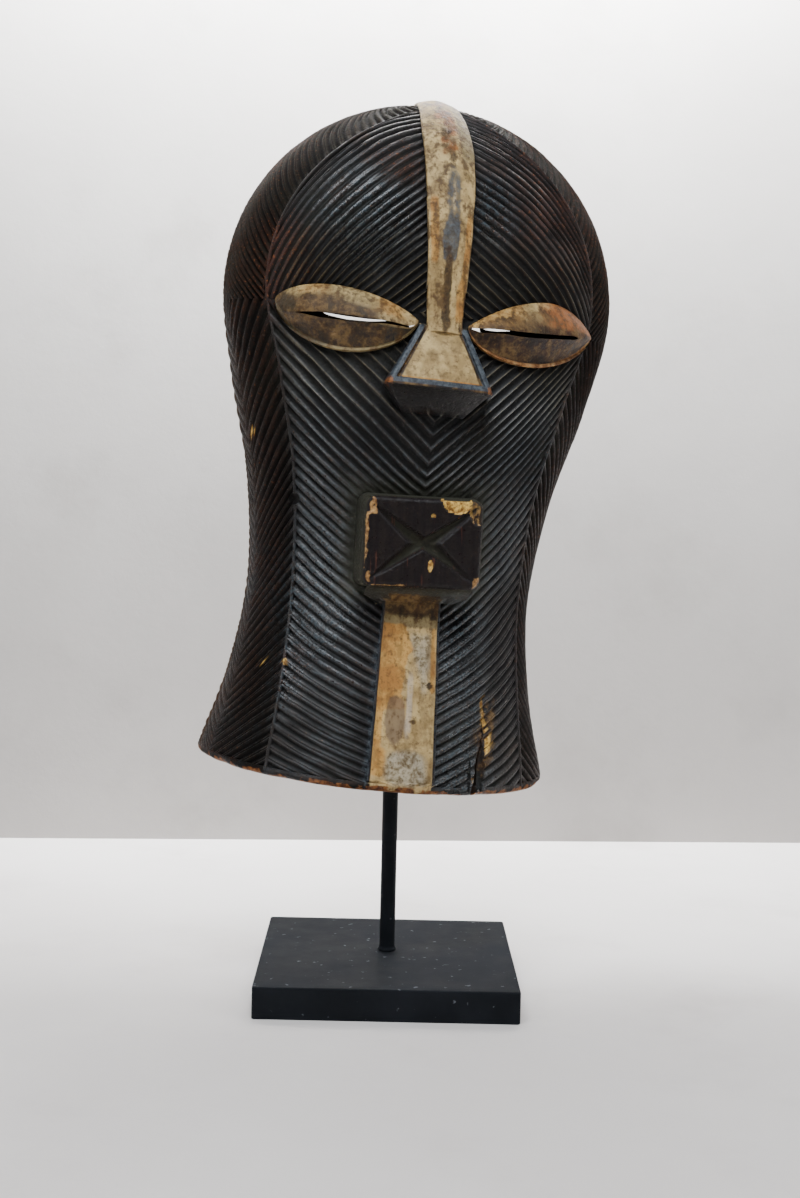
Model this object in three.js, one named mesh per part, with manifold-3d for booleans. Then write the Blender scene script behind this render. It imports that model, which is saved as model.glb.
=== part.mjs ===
// A fluted wooden face mask of the Songye kifwebe kind, held up by a steel rod on a square plate.
// Millimetres, +Z up. The origin is the middle of the plate's underside, and the front faces -Y.
import * as THREE from 'three';
import Module from 'manifold-3d';

const wasm = await Module();
wasm.setup();

// Stand
const plateSide = 130;
const plateThickness = 16;
const plateEdgeBreak = 0.6;
const rodDiameter = 8;
const rodSetback = 4;
const rodTop = 409.2;
const crossBarDiameter = 6;
const crossBarLength = 46;
const crossBarHeight = 396;
const roundSides = 10;
const pieceGap = 0.3;

// Where the mask hangs: the middle of its open back at rim height, and how it is turned
const maskPlace = new THREE.Vector3(-12, 52, 107);
const maskTurn = THREE.MathUtils.degToRad(10.7);
const maskLean = THREE.MathUtils.degToRad(4.8);

// The shell: half widths and front depths at heights above the rim, then an elliptical dome
const stationHeights = [0, 45, 95, 150, 200, 250];
const halfWidths = [95.5, 83, 77, 83, 96, 105];
const frontDepths = [91, 81, 69.5, 71, 77, 70];
const domeBase = 250;
const domeHeight = 103;
const crownReach = 400;
const wallThickness = 9;

// The face ends at a border line and the side band at a second line, in degrees from the middle
const leftBorder = [43.5, 47, 49.5, 49.5, 51.5, 55.5];
const rightBorder = [47.5, 53, 54.5, 49.5, 48.5, 53];
const sideLine = [73, 75.5, 77, 77.5, 78, 83];
const borderTurnIn = 68;
const leastBorder = 9;

// Flutes: on the forehead they fall from the crest, and below the eye line they rise from the middle.
// Each slope is in millimetres of reach per degree of turn, on the left and on the right.
const eyeLine = 238;
const grooveDepth = 1.4;
const crestPitch = 5.1;
const bandPitch = 4.3;
const chinPitch = 4.8;
const chinStart = -40;
const nosePitch = 7.2;
const chinSlopes = {
  heights: [0, 50, 80, 110, 150, 180, 240],
  left: [0.48, 0.56, 0.7, 0.84, 1.02, 1.38, 1.55],
  right: [0.75, 0.82, 1, 1.15, 1.45, 1.7, 1.75],
};
const foreheadSlopes = {
  heights: [238, 265, 285, 305, 325, 345, 400],
  left: [1.6, 1.6, 1.6, 1.6, 1.05, 0.6, 0.35],
  right: [1.15, 1.12, 0.95, 0.82, 0.7, 0.5, 0.35],
};
const steepening = {
  heights: [238, 265, 285, 305, 330, 400],
  left: [1.2, 1.2, 1.2, 1.3, 2.6, 2.6],
  right: [0.9, 0.9, 1.6, 2.8, 2.9, 2.9],
};
const sideSlopes = {
  heights: [0, 50, 100, 150, 200, 240],
  values: [1, 1.25, 1.38, 1.6, 1.65, 1.9],
};
const bandSlope = 1.2;
const bandShares = [-0.15, 0.45, 1];
const edgeRise = 12;
const faceColumns = 3;
const sideColumns = 2;
const foreheadAngles = [0, 18, 34, 46, 58];
const walkSteps = 6;
const coreInset = 2;
const crownInset = 4;
const crownFrom = 318;
const seamOverlap = 0.5;
const seamTolerance = 0.05;
const surfaceTolerance = 0.1;

// Plain rim that closes the flutes below
const rimBandHeight = 6;
const rimColumns = 26;
const rimLevels = [[0, 3.6], [0.9, 1.7], [2.6, 0.6], [6.3, 0.4]];

// Crest along the middle of the forehead
const crest = {
  heights: [229, 250, 270, 287, 316, 345, 370, 400],
  left: [8.5, 9.7, 11.2, 12.8, 14.7, 15.5, 15, 14],
  right: [9.5, 9.7, 10.4, 10.9, 11, 8.8, 6, 5],
};
const crestEdgeLift = 0.9;
const crestRidgeLift = 2.6;

// Shallow band down the chin, from the plain rim up to the mouth
const chinBand = { top: 96, topHalfWidth: 14, bottomHalfWidth: 16.6, edgeLift: -0.2, middleLift: -1.2 };

// Eyes: corners, greatest heights above and below the line between them, and the fall towards each corner.
// The slit runs along the ridge at its own reach and rises towards the outer corner
const leftEye = {
  side: -1, inner: [12.5, 233], outer: [81.6, 237.4],
  above: 11.4, aboveSkew: 1.25, abovePowers: [0.6, 0.6],
  below: 20.7, belowSkew: 1.1, belowPowers: [0.6, 0.6],
  slit: 228.8, outerRise: 2.6, slitEnds: [0.03, 0.82], clear: [0.2, 0.66],
};
const rightEye = {
  side: 1, inner: [12.5, 233.5], outer: [85.3, 239.2],
  above: 14.8, aboveSkew: 1.27, abovePowers: [0.7, 1],
  below: 18.4, belowSkew: 1, belowPowers: [0.52, 0.7],
  slit: 231.5, outerRise: 5.7, slitEnds: [0.02, 0.77], clear: [0.05, 0.3],
};
const eyeBulge = 9;
const eyeLedge = 1.6;
const eyeStations = 10;
const slitHeight = 2.4;
const slitRise = 5;
const slitStations = 7;

// Nose: a wedge that widens and stands out towards its foot
const nose = {
  root: 231, tip: 201, foot: 188,
  rootHalf: 12.4, tipHalf: 26.8, footHalf: 15.5,
  lift: 12, shift: -1.2,
};
const noseBorder = 3.6;
const nosePanelDepth = 1.3;

// Mouth: a block with a cross of tapering hollows
const mouth = { x: -0.2, z: 124.6, halfWidth: 29.8, halfHeight: 22.3, corner: 4.8, front: 82.5, back: 60 };
const mouthTilt = THREE.MathUtils.degToRad(2.8);
const mouthEdge = 1.2;
const mouthFlare = 1.2;
const mouthFrame = 2.6;
const mouthFoot = 94;
const crossHollow = { reachX: 26, reachZ: 18.3, narrowSide: 2.8, wideSide: 5.8, depth: 4.2 };

// Split with lost wood, running up from the rim at the lower right
const split = { x: 35, lean: 6, height: 46, halfWidth: 1.6, depth: 5 };

// The lower back corner of each side is worn round
const wornCorners = [{ side: -1, radius: 10 }, { side: 1, radius: 7 }];

const clamp = THREE.MathUtils.clamp;
const lerp = THREE.MathUtils.lerp;
const quarterTurn = Math.PI / 2;

// A smooth curve through a few stations, straight below the first and level at the last
function smoothCurve(heights, values) {
  const last = heights.length - 1;
  const slopes = values.map((value, i) => {
    if (i === last) return 0;
    const before = Math.max(i - 1, 0);
    return (values[i + 1] - values[before]) / (heights[i + 1] - heights[before]);
  });
  return (height) => {
    if (height <= heights[0]) return values[0] + slopes[0] * (height - heights[0]);
    if (height >= heights[last]) return values[last];
    const i = heights.findIndex((start, k) => height < heights[k + 1]);
    const span = heights[i + 1] - heights[i];
    const t = (height - heights[i]) / span;
    const rise = slopes[i] * span;
    const fall = slopes[i + 1] * span;
    const change = values[i + 1] - values[i];
    return values[i] + t * (rise + t * ((3 * change - 2 * rise - fall) + t * (rise + fall - 2 * change)));
  };
}

const halfWidthAt = smoothCurve(stationHeights, halfWidths);
const frontDepthAt = smoothCurve(stationHeights, frontDepths);
const leftBorderAt = smoothCurve(stationHeights, leftBorder);
const rightBorderAt = smoothCurve(stationHeights, rightBorder);
const sideLineAt = smoothCurve(stationHeights, sideLine);
const sideSlopeAt = smoothCurve(sideSlopes.heights, sideSlopes.values);
const crestLeftAt = smoothCurve(crest.heights, crest.left);
const crestRightAt = smoothCurve(crest.heights, crest.right);
const sided = (table) => {
  const curves = { '-1': smoothCurve(table.heights, table.left), 1: smoothCurve(table.heights, table.right) };
  return (side, height) => curves[side](height);
};
const chinSlopeAt = sided(chinSlopes);
const foreheadSlopeAt = sided(foreheadSlopes);
const steepeningAt = sided(steepening);

// How far round the dome a reach lies, from 0 at its base to a quarter turn at the crown
function domeTurn(reach) {
  return clamp((reach - domeBase) / (crownReach - domeBase), 0, 1) * quarterTurn;
}

// A point of the plain skin: angle from the middle, reach up from the rim, inset of the wall
function skinPoint(angle, reach, inset = 0) {
  const turn = domeTurn(reach);
  const height = Math.min(reach, domeBase);
  return new THREE.Vector3(
    (halfWidthAt(height) - inset) * Math.cos(turn) * Math.sin(angle),
    -(frontDepthAt(height) - inset) * Math.cos(turn) * Math.cos(angle),
    height + (domeHeight - inset) * Math.sin(turn),
  );
}

// The same point, lifted off the skin along its normal
function onSkin(angle, reach, lift = 0) {
  const across = skinPoint(angle + 0.002, reach).sub(skinPoint(angle - 0.002, reach));
  const along = skinPoint(angle, reach + 0.5).sub(skinPoint(angle, reach - 0.5));
  const normal = across.cross(along).normalize();
  return skinPoint(angle, reach).addScaledVector(normal, lift);
}

// The angle of a point that lies x to the side of the middle
function angleAtX(x, reach) {
  return Math.asin(clamp(x / (halfWidthAt(Math.min(reach, domeBase)) * Math.cos(domeTurn(reach))), -1, 1));
}

function onFace(x, reach, lift = 0) {
  return onSkin(angleAtX(x, reach), reach, lift);
}

// A solid from closed rings of points, each end closed by a fan to one point
function loft(rings, startPoint = null, endPoint = null) {
  const size = rings[0].length;
  const points = rings.flat();
  const middle = (ring) => ring.reduce((sum, p) => sum.add(p), new THREE.Vector3()).divideScalar(ring.length);
  points.push(startPoint ?? middle(rings[0]), endPoint ?? middle(rings[rings.length - 1]));
  const startIndex = points.length - 2;
  const endIndex = points.length - 1;
  const faces = [];
  for (let i = 0; i < size; i += 1) {
    const next = (i + 1) % size;
    faces.push(startIndex, next, i);
    faces.push(endIndex, (rings.length - 1) * size + i, (rings.length - 1) * size + next);
    for (let r = 0; r + 1 < rings.length; r += 1) {
      const a = r * size + i;
      const b = r * size + next;
      faces.push(a, b, b + size, a, b + size, a + size);
    }
  }
  return solidFrom(points, faces);
}

function signedVolume(points, faces) {
  let sum = 0;
  for (let f = 0; f < faces.length; f += 3) {
    const [a, b, c] = [points[faces[f]], points[faces[f + 1]], points[faces[f + 2]]];
    sum += a.dot(b.clone().cross(c));
  }
  return sum / 6;
}

function solidFrom(points, faces) {
  const outward = signedVolume(points, faces) > 0 ? faces : faces.slice().reverse();
  const mesh = new wasm.Mesh({
    numProp: 3,
    vertProperties: new Float32Array(points.flatMap((p) => [p.x, p.y, p.z])),
    triVerts: new Uint32Array(outward),
  });
  return new wasm.Manifold(mesh);
}

// The angle from the middle of the line where the face ends
function borderAngle(side, reach) {
  const plain = side < 0 ? leftBorderAt(reach) : rightBorderAt(reach);
  const turnIn = borderTurnIn * (domeTurn(reach) / quarterTurn) ** 2.5;
  return Math.max(plain - turnIn, leastBorder);
}

// Follows a flute for a number of steps, given how fast its reach changes, and lists its reaches
function walk(start, steps, rate) {
  const reaches = [start];
  let reach = start;
  for (let i = 0; i < steps * walkSteps; i += 1) {
    reach += rate((i + 0.5) / (steps * walkSteps), reach) / (steps * walkSteps);
    if (i % walkSteps === walkSteps - 1) reaches.push(reach);
  }
  return reaches;
}

// One half of a flute below the eye line, from the middle to the back edge: angles and reaches
function chinFlute(side, start) {
  const most = side > 0 ? 0.4 : 0;
  const steeper = (angle, reach) => 1 + most * clamp((reach - 120) / 40, 0, 1) * (angle / 50) ** 3;
  const face = walk(start, faceColumns, (u, reach) => {
    const line = borderAngle(side, reach);
    return chinSlopeAt(side, reach) * steeper(u * line, reach) * line;
  });
  const border = face[faceColumns];
  const band = walk(border, sideColumns, (u, reach) => (
    -sideSlopeAt(reach) * (sideLineAt(reach) - borderAngle(side, reach))));
  const last = band[sideColumns];
  return [
    ...face.map((reach, i) => [(borderAngle(side, reach) * i) / faceColumns, reach]),
    ...band.slice(1).map((reach, i) => [
      lerp(borderAngle(side, reach), sideLineAt(reach), (i + 1) / sideColumns),
      reach,
    ]),
    [90, last + edgeRise],
  ];
}

// The same on the forehead, where a flute runs on past the border
function foreheadFlute(side, start) {
  const flute = [[0, start]];
  let reach = start;
  for (let angle = 0; angle < foreheadAngles[foreheadAngles.length - 1]; angle += 1) {
    const steeper = 1 + steepeningAt(side, reach) * ((angle + 0.5) / 50) ** 3;
    reach -= foreheadSlopeAt(side, reach) * steeper;
    if (foreheadAngles.includes(angle + 1)) flute.push([angle + 1, reach]);
  }
  return flute;
}

// The same on the side band above the eye line, from a little before the border
function bandFlute(side, start) {
  const line = borderAngle(side, start);
  const rise = Math.min(bandSlope * (90 - line), 0.8 * (crownReach - start));
  return bandShares.map((u) => [lerp(line, 90, u), start + rise * u]);
}

function fluteRing(kind, start, lift) {
  const flute = { chin: chinFlute, forehead: foreheadFlute, band: bandFlute }[kind];
  const left = flute(-1, start).map(([angle, reach]) => [-angle, reach]).reverse();
  const right = flute(1, start);
  const line = kind === 'band' ? [...left, ...right] : [...left, ...right.slice(1)];
  const skin = line.map(([degrees, reach]) => onSkin(THREE.MathUtils.degToRad(degrees), reach, lift));
  if (kind === 'forehead') skin.push(new THREE.Vector3(0, 4, Math.min(skin[0].z, skin[skin.length - 1].z)));
  return skin;
}

function flutedSolid(kind, firstReach, lastReach, pitchAt) {
  const rings = [];
  let reach = firstReach;
  for (let i = 0; reach <= lastReach; i += 1) {
    rings.push(fluteRing(kind, reach, i % 2 === 0 ? 0 : -grooveDepth));
    reach += pitchAt(reach) / 2;
  }
  const first = new THREE.Vector3(0, -20, rings[0][rings[0].length >> 1].z);
  const last = kind === 'chin' ? null : new THREE.Vector3(0, -0.5, domeBase + domeHeight - 0.4);
  return loft(rings, first, last);
}

// The wedge of space between the two border lines, above the eye line, narrowed by a few degrees
function foreheadSpace(narrowing) {
  const rings = [];
  for (let i = 0; i <= 12; i += 1) {
    const reach = lerp(eyeLine - 20, crownReach - 1, i / 12);
    const ring = [new THREE.Vector3(0, 8, skinPoint(0, reach).z)];
    for (const side of [-1, 1]) {
      const line = THREE.MathUtils.degToRad(borderAngle(side, reach) - narrowing);
      const points = [1, 0.5].map((share) => {
        const point = skinPoint(side * line * share, reach);
        return new THREE.Vector3(point.x * 1.4, point.y * 1.4, point.z);
      });
      ring.push(...(side < 0 ? points : points.reverse()));
    }
    rings.push(ring);
  }
  const top = rings[rings.length - 1].map((point) => point.clone().setZ(domeBase + domeHeight + 12));
  return loft([...rings, top]);
}

// A smooth solid under the flutes, which shows where they are cut away
function smoothSolid(inset, lowest, behind, rows, stepsAcross) {
  const rings = [];
  for (let r = 0; r < rows; r += 1) {
    const reach = lerp(lowest, crownReach - 8, r / (rows - 1));
    const ring = [];
    for (let c = 0; c <= stepsAcross; c += 1) {
      ring.push(skinPoint(lerp(-quarterTurn, quarterTurn, c / stepsAcross), reach, inset));
    }
    if (behind > 0) {
      ring.push(ring[stepsAcross].clone().setY(behind), ring[0].clone().setY(behind));
    }
    rings.push(ring);
  }
  return loft(rings, null, new THREE.Vector3(0, behind / 2, domeBase + domeHeight - inset));
}

function rimBand() {
  return loft(rimLevels.map(([height, inset]) => {
    const ring = [];
    for (let c = 0; c <= rimColumns; c += 1) {
      ring.push(skinPoint(lerp(-quarterTurn, quarterTurn, c / rimColumns), height, inset));
    }
    return ring;
  }));
}

// A point over the dome that lies x to the side of the middle and y behind the front
function onDome(x, y, lift) {
  const [a, b] = [halfWidthAt(domeBase), frontDepthAt(domeBase)];
  const height = domeHeight * Math.sqrt(Math.max(0, 1 - (x / a) ** 2 - (y / b) ** 2));
  const normal = new THREE.Vector3(x / a ** 2, y / b ** 2, height / domeHeight ** 2).normalize();
  return new THREE.Vector3(x, y, domeBase + height).addScaledVector(normal, lift);
}

function crestSolid() {
  const shoulder = lerp(crestEdgeLift, crestRidgeLift, 0.6);
  const profile = [
    [-1, -4],
    [-1, crestEdgeLift],
    [-0.45, shoulder],
    [0, crestRidgeLift],
    [0.45, shoulder],
    [1, crestEdgeLift],
    [1, -4],
  ];
  const rings = [];
  for (let i = 0; i <= 13; i += 1) {
    const reach = lerp(crest.heights[0], crownReach, i / 13);
    const middle = (crestRightAt(reach) - crestLeftAt(reach)) / 2;
    const half = (crestRightAt(reach) + crestLeftAt(reach)) / 2;
    const depth = frontDepthAt(domeBase) * Math.cos(domeTurn(reach));
    rings.push(profile.map(([across, lift]) => {
      const x = middle + across * half;
      return reach < domeBase ? onFace(x, reach, lift) : onDome(x, -depth, lift);
    }));
  }
  rings.push(rings[rings.length - 1].map((point) => point.clone().setY(2)));
  return loft(rings).trimByPlane([0, -1, 0], 0);
}

function chinRings(profile, levels) {
  return loft(levels.map(([reach, inset]) => {
    const half = lerp(chinBand.bottomHalfWidth, chinBand.topHalfWidth, reach / chinBand.top);
    return profile.map(([across, lift]) => onFace(across * half, reach, lift - inset));
  }));
}

function chinChannel() {
  const levels = [[rimBandHeight, 0], [20, 0], [45, 0], [70, 0], [chinBand.top, 0]];
  return chinRings([[-1, -3], [-1, 4], [0, 4], [1, 4], [1, -3], [0, -3]], levels);
}

function chinBandSolid() {
  const levels = [[rimBandHeight - 0.4, 0.3], [20, 0], [45, 0], [70, 0], [chinBand.top, 0]];
  const half = lerp(chinBand.edgeLift, chinBand.middleLift, 0.7);
  const section = [
    [-1.01, -5],
    [-1.01, chinBand.edgeLift],
    [-0.5, half],
    [0, chinBand.middleLift],
    [0.5, half],
    [1.01, chinBand.edgeLift],
    [1.01, -5],
    [0, -5],
  ];
  return chinRings(section, levels);
}

// Position on an eye: u from the inner to the outer corner, and a height on its outline or slit
function eyeLineAt(eye, u) {
  return [lerp(eye.inner[0], eye.outer[0], u) * eye.side, lerp(eye.inner[1], eye.outer[1], u)];
}

// Rises from nothing at both corners to one, with its own steepness on each side of the highest place
function eyeHump(u, skew, powers) {
  const w = u ** skew;
  return (4 * w * (1 - w)) ** (w < 0.5 ? powers[0] : powers[1]);
}

function eyeFullness(u) {
  return eyeHump(u, 1, [0.6, 0.6]);
}

function eyeSlitReach(eye, u) {
  const [, line] = eyeLineAt(eye, u);
  const slit = eye.slit + eye.outerRise * clamp((u - 0.3) / 0.6, 0, 1) ** 1.4;
  return lerp(line, slit, Math.min(1, 2.2 * eyeFullness(u)));
}

function eyeSolid(eye) {
  const rings = [];
  for (let i = 0; i <= eyeStations; i += 1) {
    const u = lerp(0.004, 0.996, (1 - Math.cos((Math.PI * i) / eyeStations)) / 2);
    const [x, line] = eyeLineAt(eye, u);
    const top = line + eye.above * eyeHump(u, eye.aboveSkew, eye.abovePowers);
    const bottom = line - eye.below * eyeHump(u, eye.belowSkew, eye.belowPowers);
    const slit = eyeSlitReach(eye, u);
    const bulge = eyeBulge * Math.min(1, 1.25 * eyeFullness(u) ** 1.2);
    const ledge = Math.min(2.1, 0.15 * (slit - bottom));
    const ring = [
      [top, -5],
      [top, 0.7],
      [lerp(top, slit, 0.3), lerp(0.7, bulge, 0.56)],
      [lerp(top, slit, 0.66), lerp(0.7, bulge, 0.88)],
      [slit, bulge],
      [lerp(slit, bottom, 0.5), lerp(bulge, 0.6, 0.42)],
      [bottom + ledge, 0.6],
      [bottom + ledge * 0.7, eyeLedge],
      [bottom, eyeLedge],
      [bottom, -5],
    ];
    rings.push(ring.map(([reach, lift]) => onFace(x, reach, lift)));
  }
  return loft(rings);
}

// The slit is cut right through. Along its clear stretch it rises towards the back
function eyeSlit(eye) {
  const rings = [];
  for (let i = 0; i <= slitStations; i += 1) {
    const share = i / slitStations;
    const u = lerp(eye.slitEnds[0], eye.slitEnds[1], share);
    const [x] = eyeLineAt(eye, u);
    const reach = eyeSlitReach(eye, u);
    const isClear = u > eye.clear[0] && u < eye.clear[1];
    const half = (slitHeight / 2) * Math.sin(Math.PI * lerp(0.06, 0.94, share)) ** 0.6;
    const front = onFace(x, reach, eyeBulge + 3);
    const back = onFace(x, reach, -wallThickness - 8);
    rings.push([
      front.clone().setZ(reach + half), front.clone().setZ(reach - half),
      back.clone().setZ(reach - half * 0.5), back.clone().setZ(reach + half * 0.5 + (isClear ? slitRise : 0)),
    ]);
  }
  return loft(rings);
}

function noseSolid() {
  const levels = [
    [nose.root + 1.5, nose.rootHalf, 0.4, 0],
    [nose.root - 2, lerp(nose.rootHalf, nose.tipHalf, 0.06), 2.6, nosePanelDepth],
    [nose.tip + noseBorder + 0.3, lerp(nose.rootHalf, nose.tipHalf, 0.88), nose.lift - 1, nosePanelDepth],
    [nose.tip + noseBorder, lerp(nose.rootHalf, nose.tipHalf, 0.89), nose.lift - 0.9, 0],
    [nose.tip + 0.6, nose.tipHalf, nose.lift, 0],
    [nose.tip - 0.6, nose.tipHalf, nose.lift - 0.6, 0],
    [nose.foot, nose.footHalf, -0.6, 0],
  ];
  return loft(levels.map(([reach, half, lift, sunk]) => {
    const shift = nose.shift * clamp((nose.root - reach) / (nose.root - nose.tip), 0, 1);
    const border = Math.min(noseBorder, half * 0.3);
    const section = [
      [-half, -6],
      [-half, lift],
      [-half + border, lift],
      [-half + border + 0.4, lift - sunk],
      [half - border - 0.4, lift - sunk],
      [half - border, lift],
      [half, lift],
      [half, -6],
    ];
    return section.map(([x, rise]) => onFace(x + shift, reach, 0).add(new THREE.Vector3(0, -rise, 0)));
  }));
}

// Places a point of the mouth's own upright frame into the mask
function inMouth(across, up, depth) {
  const turned = new THREE.Vector2(across, up).rotateAround(new THREE.Vector2(), mouthTilt);
  return new THREE.Vector3(mouth.x + turned.x, -depth, mouth.z + turned.y);
}

function mouthRing(margin, depth) {
  const ring = [];
  for (const [signX, signZ, quarter] of [[1, 1, 0], [-1, 1, 1], [-1, -1, 2], [1, -1, 3]]) {
    for (let i = 0; i <= 3; i += 1) {
      const angle = (quarter + i / 3) * quarterTurn;
      const across = signX * (mouth.halfWidth + margin - mouth.corner) + mouth.corner * Math.cos(angle);
      const up = signZ * (mouth.halfHeight + margin - mouth.corner) + mouth.corner * Math.sin(angle);
      ring.push(inMouth(across, up, depth));
    }
  }
  return ring;
}

function mouthBlock(grow, front) {
  return loft([
    mouthRing(grow + mouthFlare, mouth.back),
    mouthRing(grow, front - mouthEdge),
    mouthRing(grow - mouthEdge * 0.7, front),
  ]);
}

// Under the mouth the block runs back to the face in a slope
function mouthUnderside() {
  const low = mouthFoot - mouth.z;
  const top = -mouth.halfHeight + 6;
  const section = [
    [top, mouth.front - 3],
    [-mouth.halfHeight - 0.4, mouth.front - 3.6],
    [low, 68.5],
    [low, mouth.back],
    [top, mouth.back],
  ];
  return loft([-1, 1].map((side) => section.map(([up, depth]) => {
    const half = up < -mouth.halfHeight - 1 ? mouth.halfWidth - 10 : mouth.halfWidth - 3;
    return inMouth(side * half, up, depth);
  })));
}

// Each arm of the cross has a steep wall next to the block's upper or lower field and a wide slope
// next to its side field
function mouthCross() {
  const arms = [-1, 1].map((lean) => {
    const along = new THREE.Vector2(crossHollow.reachX * lean, crossHollow.reachZ);
    const across = new THREE.Vector2(-along.y, along.x).normalize();
    return loft([-1, -0.55, -0.2, 0.2, 0.55, 1].map((t) => {
      const fullness = (1 - Math.abs(t)) ** 0.8;
      const narrow = lerp(0.5, crossHollow.narrowSide, fullness);
      const wide = lerp(0.5, crossHollow.wideSide, fullness);
      const [before, after] = t * lean > 0 ? [wide, narrow] : [narrow, wide];
      const floor = mouth.front - lerp(0.3, crossHollow.depth, fullness);
      const rim = mouth.front + 0.01;
      const ring = [[-before, rim], [after, rim], [after * 0.4, floor], [-before * 0.4, floor]];
      return ring.map(([side, depth]) => {
        const spot = along.clone().multiplyScalar(t).addScaledVector(across, side);
        return inMouth(spot.x, spot.y, depth);
      });
    }));
  });
  return arms[0].add(arms[1]);
}

function splitCut() {
  const levels = [
    [-3, split.halfWidth * 1.6, split.depth * 1.6],
    [6, split.halfWidth, split.depth],
    [split.height * 0.5, split.halfWidth * 0.7, split.depth * 0.7],
    [split.height, 0.3, split.depth * 0.3],
  ];
  const rings = levels.map(([reach, half, depth]) => {
    const x = split.x + (split.lean * reach) / split.height;
    return [onFace(x - half, reach, 2), onFace(x + half, reach, 2), onFace(x, reach, -depth)];
  });
  return loft(rings);
}

function wornCorner({ side, radius }) {
  const section = [];
  for (let i = 0; i <= 4; i += 1) {
    const turn = (quarterTurn * i) / 4;
    section.push([radius * (Math.cos(turn) - 1), radius * (1 - Math.sin(turn))]);
  }
  section.push([-radius, -4], [4, -4], [4, radius]);
  return loft([55, 125].map((x) => section.map(([y, z]) => new THREE.Vector3(side * x, y, z))));
}

// Flutes stand closer together on the chin than under the eyes
function chinPitchAt(reach) {
  return lerp(chinPitch, nosePitch, clamp((reach - 145) / 25, 0, 1));
}

function maskSolid() {
  const forehead = flutedSolid('forehead', eyeLine - 6, crownReach - 6, () => crestPitch);
  const bands = flutedSolid('band', eyeLine - 50, crownReach - 5, () => bandPitch);
  const upper = forehead.trimByPlane([0, -1, 0], 0)
    .intersect(foreheadSpace(0))
    .add(bands.subtract(foreheadSpace(seamOverlap)))
    .trimByPlane([0, 0, 1], eyeLine);
  const lower = flutedSolid('chin', chinStart, eyeLine + 4, chinPitchAt)
    .trimByPlane([0, 0, -1], -eyeLine - seamTolerance)
    .trimByPlane([0, 0, 1], rimBandHeight);
  const core = smoothSolid(coreInset, rimBandHeight, 0, 20, 20);
  const frame = mouthBlock(mouthFrame, mouth.front + 4).subtract(core);
  const cavity = smoothSolid(wallThickness, -30, 8, 14, 12);
  const crown = smoothSolid(crownInset, rimBandHeight, 0, 20, 20).trimByPlane([0, 0, 1], crownFrom);
  const carved = upper.add(lower)
    .add(crown)
    .subtract(frame)
    .subtract(chinChannel())
    .add(rimBand())
    .add(crestSolid())
    .add(chinBandSolid())
    .add(eyeSolid(leftEye))
    .add(eyeSolid(rightEye))
    .add(noseSolid())
    .add(mouthBlock(0, mouth.front))
    .add(mouthUnderside())
    .subtract(cavity)
    .subtract(eyeSlit(leftEye))
    .subtract(eyeSlit(rightEye))
    .subtract(mouthCross())
    .subtract(splitCut())
    .subtract(wornCorner(wornCorners[0]))
    .subtract(wornCorner(wornCorners[1]))
    .simplify(surfaceTolerance);
  return carved.decompose().reduce((best, shell) => (shell.volume() > best.volume() ? shell : best));
}

// A round bar between two points, with rounded ends
function roundBar(from, to, radius) {
  const along = to.clone().sub(from).normalize();
  const side = new THREE.Vector3(along.z, along.x, along.y).cross(along).normalize();
  const other = along.clone().cross(side);
  const ringAt = (centre, size) => {
    const ring = [];
    for (let i = 0; i < roundSides; i += 1) {
      const angle = (i / roundSides) * 2 * Math.PI;
      const spoke = side.clone().multiplyScalar(Math.cos(angle)).addScaledVector(other, Math.sin(angle));
      ring.push(centre.clone().addScaledVector(spoke, size));
    }
    return ring;
  };
  const ends = [[radius, 0.4], [radius * 0.4, 0.92], [0, 1]];
  return {
    plain: (end) => ringAt(end, radius),
    start: ends.map(([back, size]) => (
      ringAt(from.clone().addScaledVector(along, radius - back), radius * size))),
    finish: ends.map(([back, size]) => (
      ringAt(to.clone().addScaledVector(along, back - radius), radius * size))).reverse(),
  };
}

function rodSolid() {
  const foot = new THREE.Vector3(0, rodSetback, plateThickness + pieceGap);
  const top = new THREE.Vector3(0, rodSetback, rodTop);
  const upright = roundBar(foot, top, rodDiameter / 2);
  const left = new THREE.Vector3(-crossBarLength / 2, rodSetback, crossBarHeight);
  const right = new THREE.Vector3(crossBarLength / 2, rodSetback, crossBarHeight);
  const bar = roundBar(left, right, crossBarDiameter / 2);
  return loft([upright.plain(foot), ...upright.finish]).add(loft([...bar.start, ...bar.finish]));
}

function plateSolid() {
  const square = (half, height) => [[-1, -1], [1, -1], [1, 1], [-1, 1]]
    .map(([x, y]) => new THREE.Vector3(x * half, y * half, height));
  const half = plateSide / 2;
  return loft([
    square(half, 0),
    square(half, plateThickness - plateEdgeBreak),
    square(half - plateEdgeBreak, plateThickness),
  ]);
}

function geometryFrom(solid) {
  const { vertProperties, triVerts } = solid.getMesh();
  const geometry = new THREE.BufferGeometry();
  geometry.setAttribute('position', new THREE.BufferAttribute(vertProperties, 3));
  geometry.setIndex(new THREE.BufferAttribute(triVerts, 1));
  return geometry;
}

function pieceFrom(name, solid, color, roughness, metalness) {
  const material = new THREE.MeshStandardMaterial({ color, roughness, metalness });
  const piece = new THREE.Mesh(geometryFrom(solid), material);
  piece.name = name;
  return piece;
}

const hang = new THREE.Group();
hang.position.copy(maskPlace);
hang.rotation.y = maskLean;
const turned = new THREE.Group();
turned.rotation.z = maskTurn;
turned.add(pieceFrom('mask', maskSolid(), 0x2b2320, 0.45, 0));
hang.add(turned);

const part = new THREE.Group();
part.add(hang);
part.add(pieceFrom('stand_rod', rodSolid(), 0x141414, 0.5, 0.2));
part.add(pieceFrom('stand_base', plateSolid(), 0x141414, 0.5, 0.2));

export default part;
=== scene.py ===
import math
from types import SimpleNamespace as Sizes

import bpy
import numpy as np
from mathutils import Matrix, Vector


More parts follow.
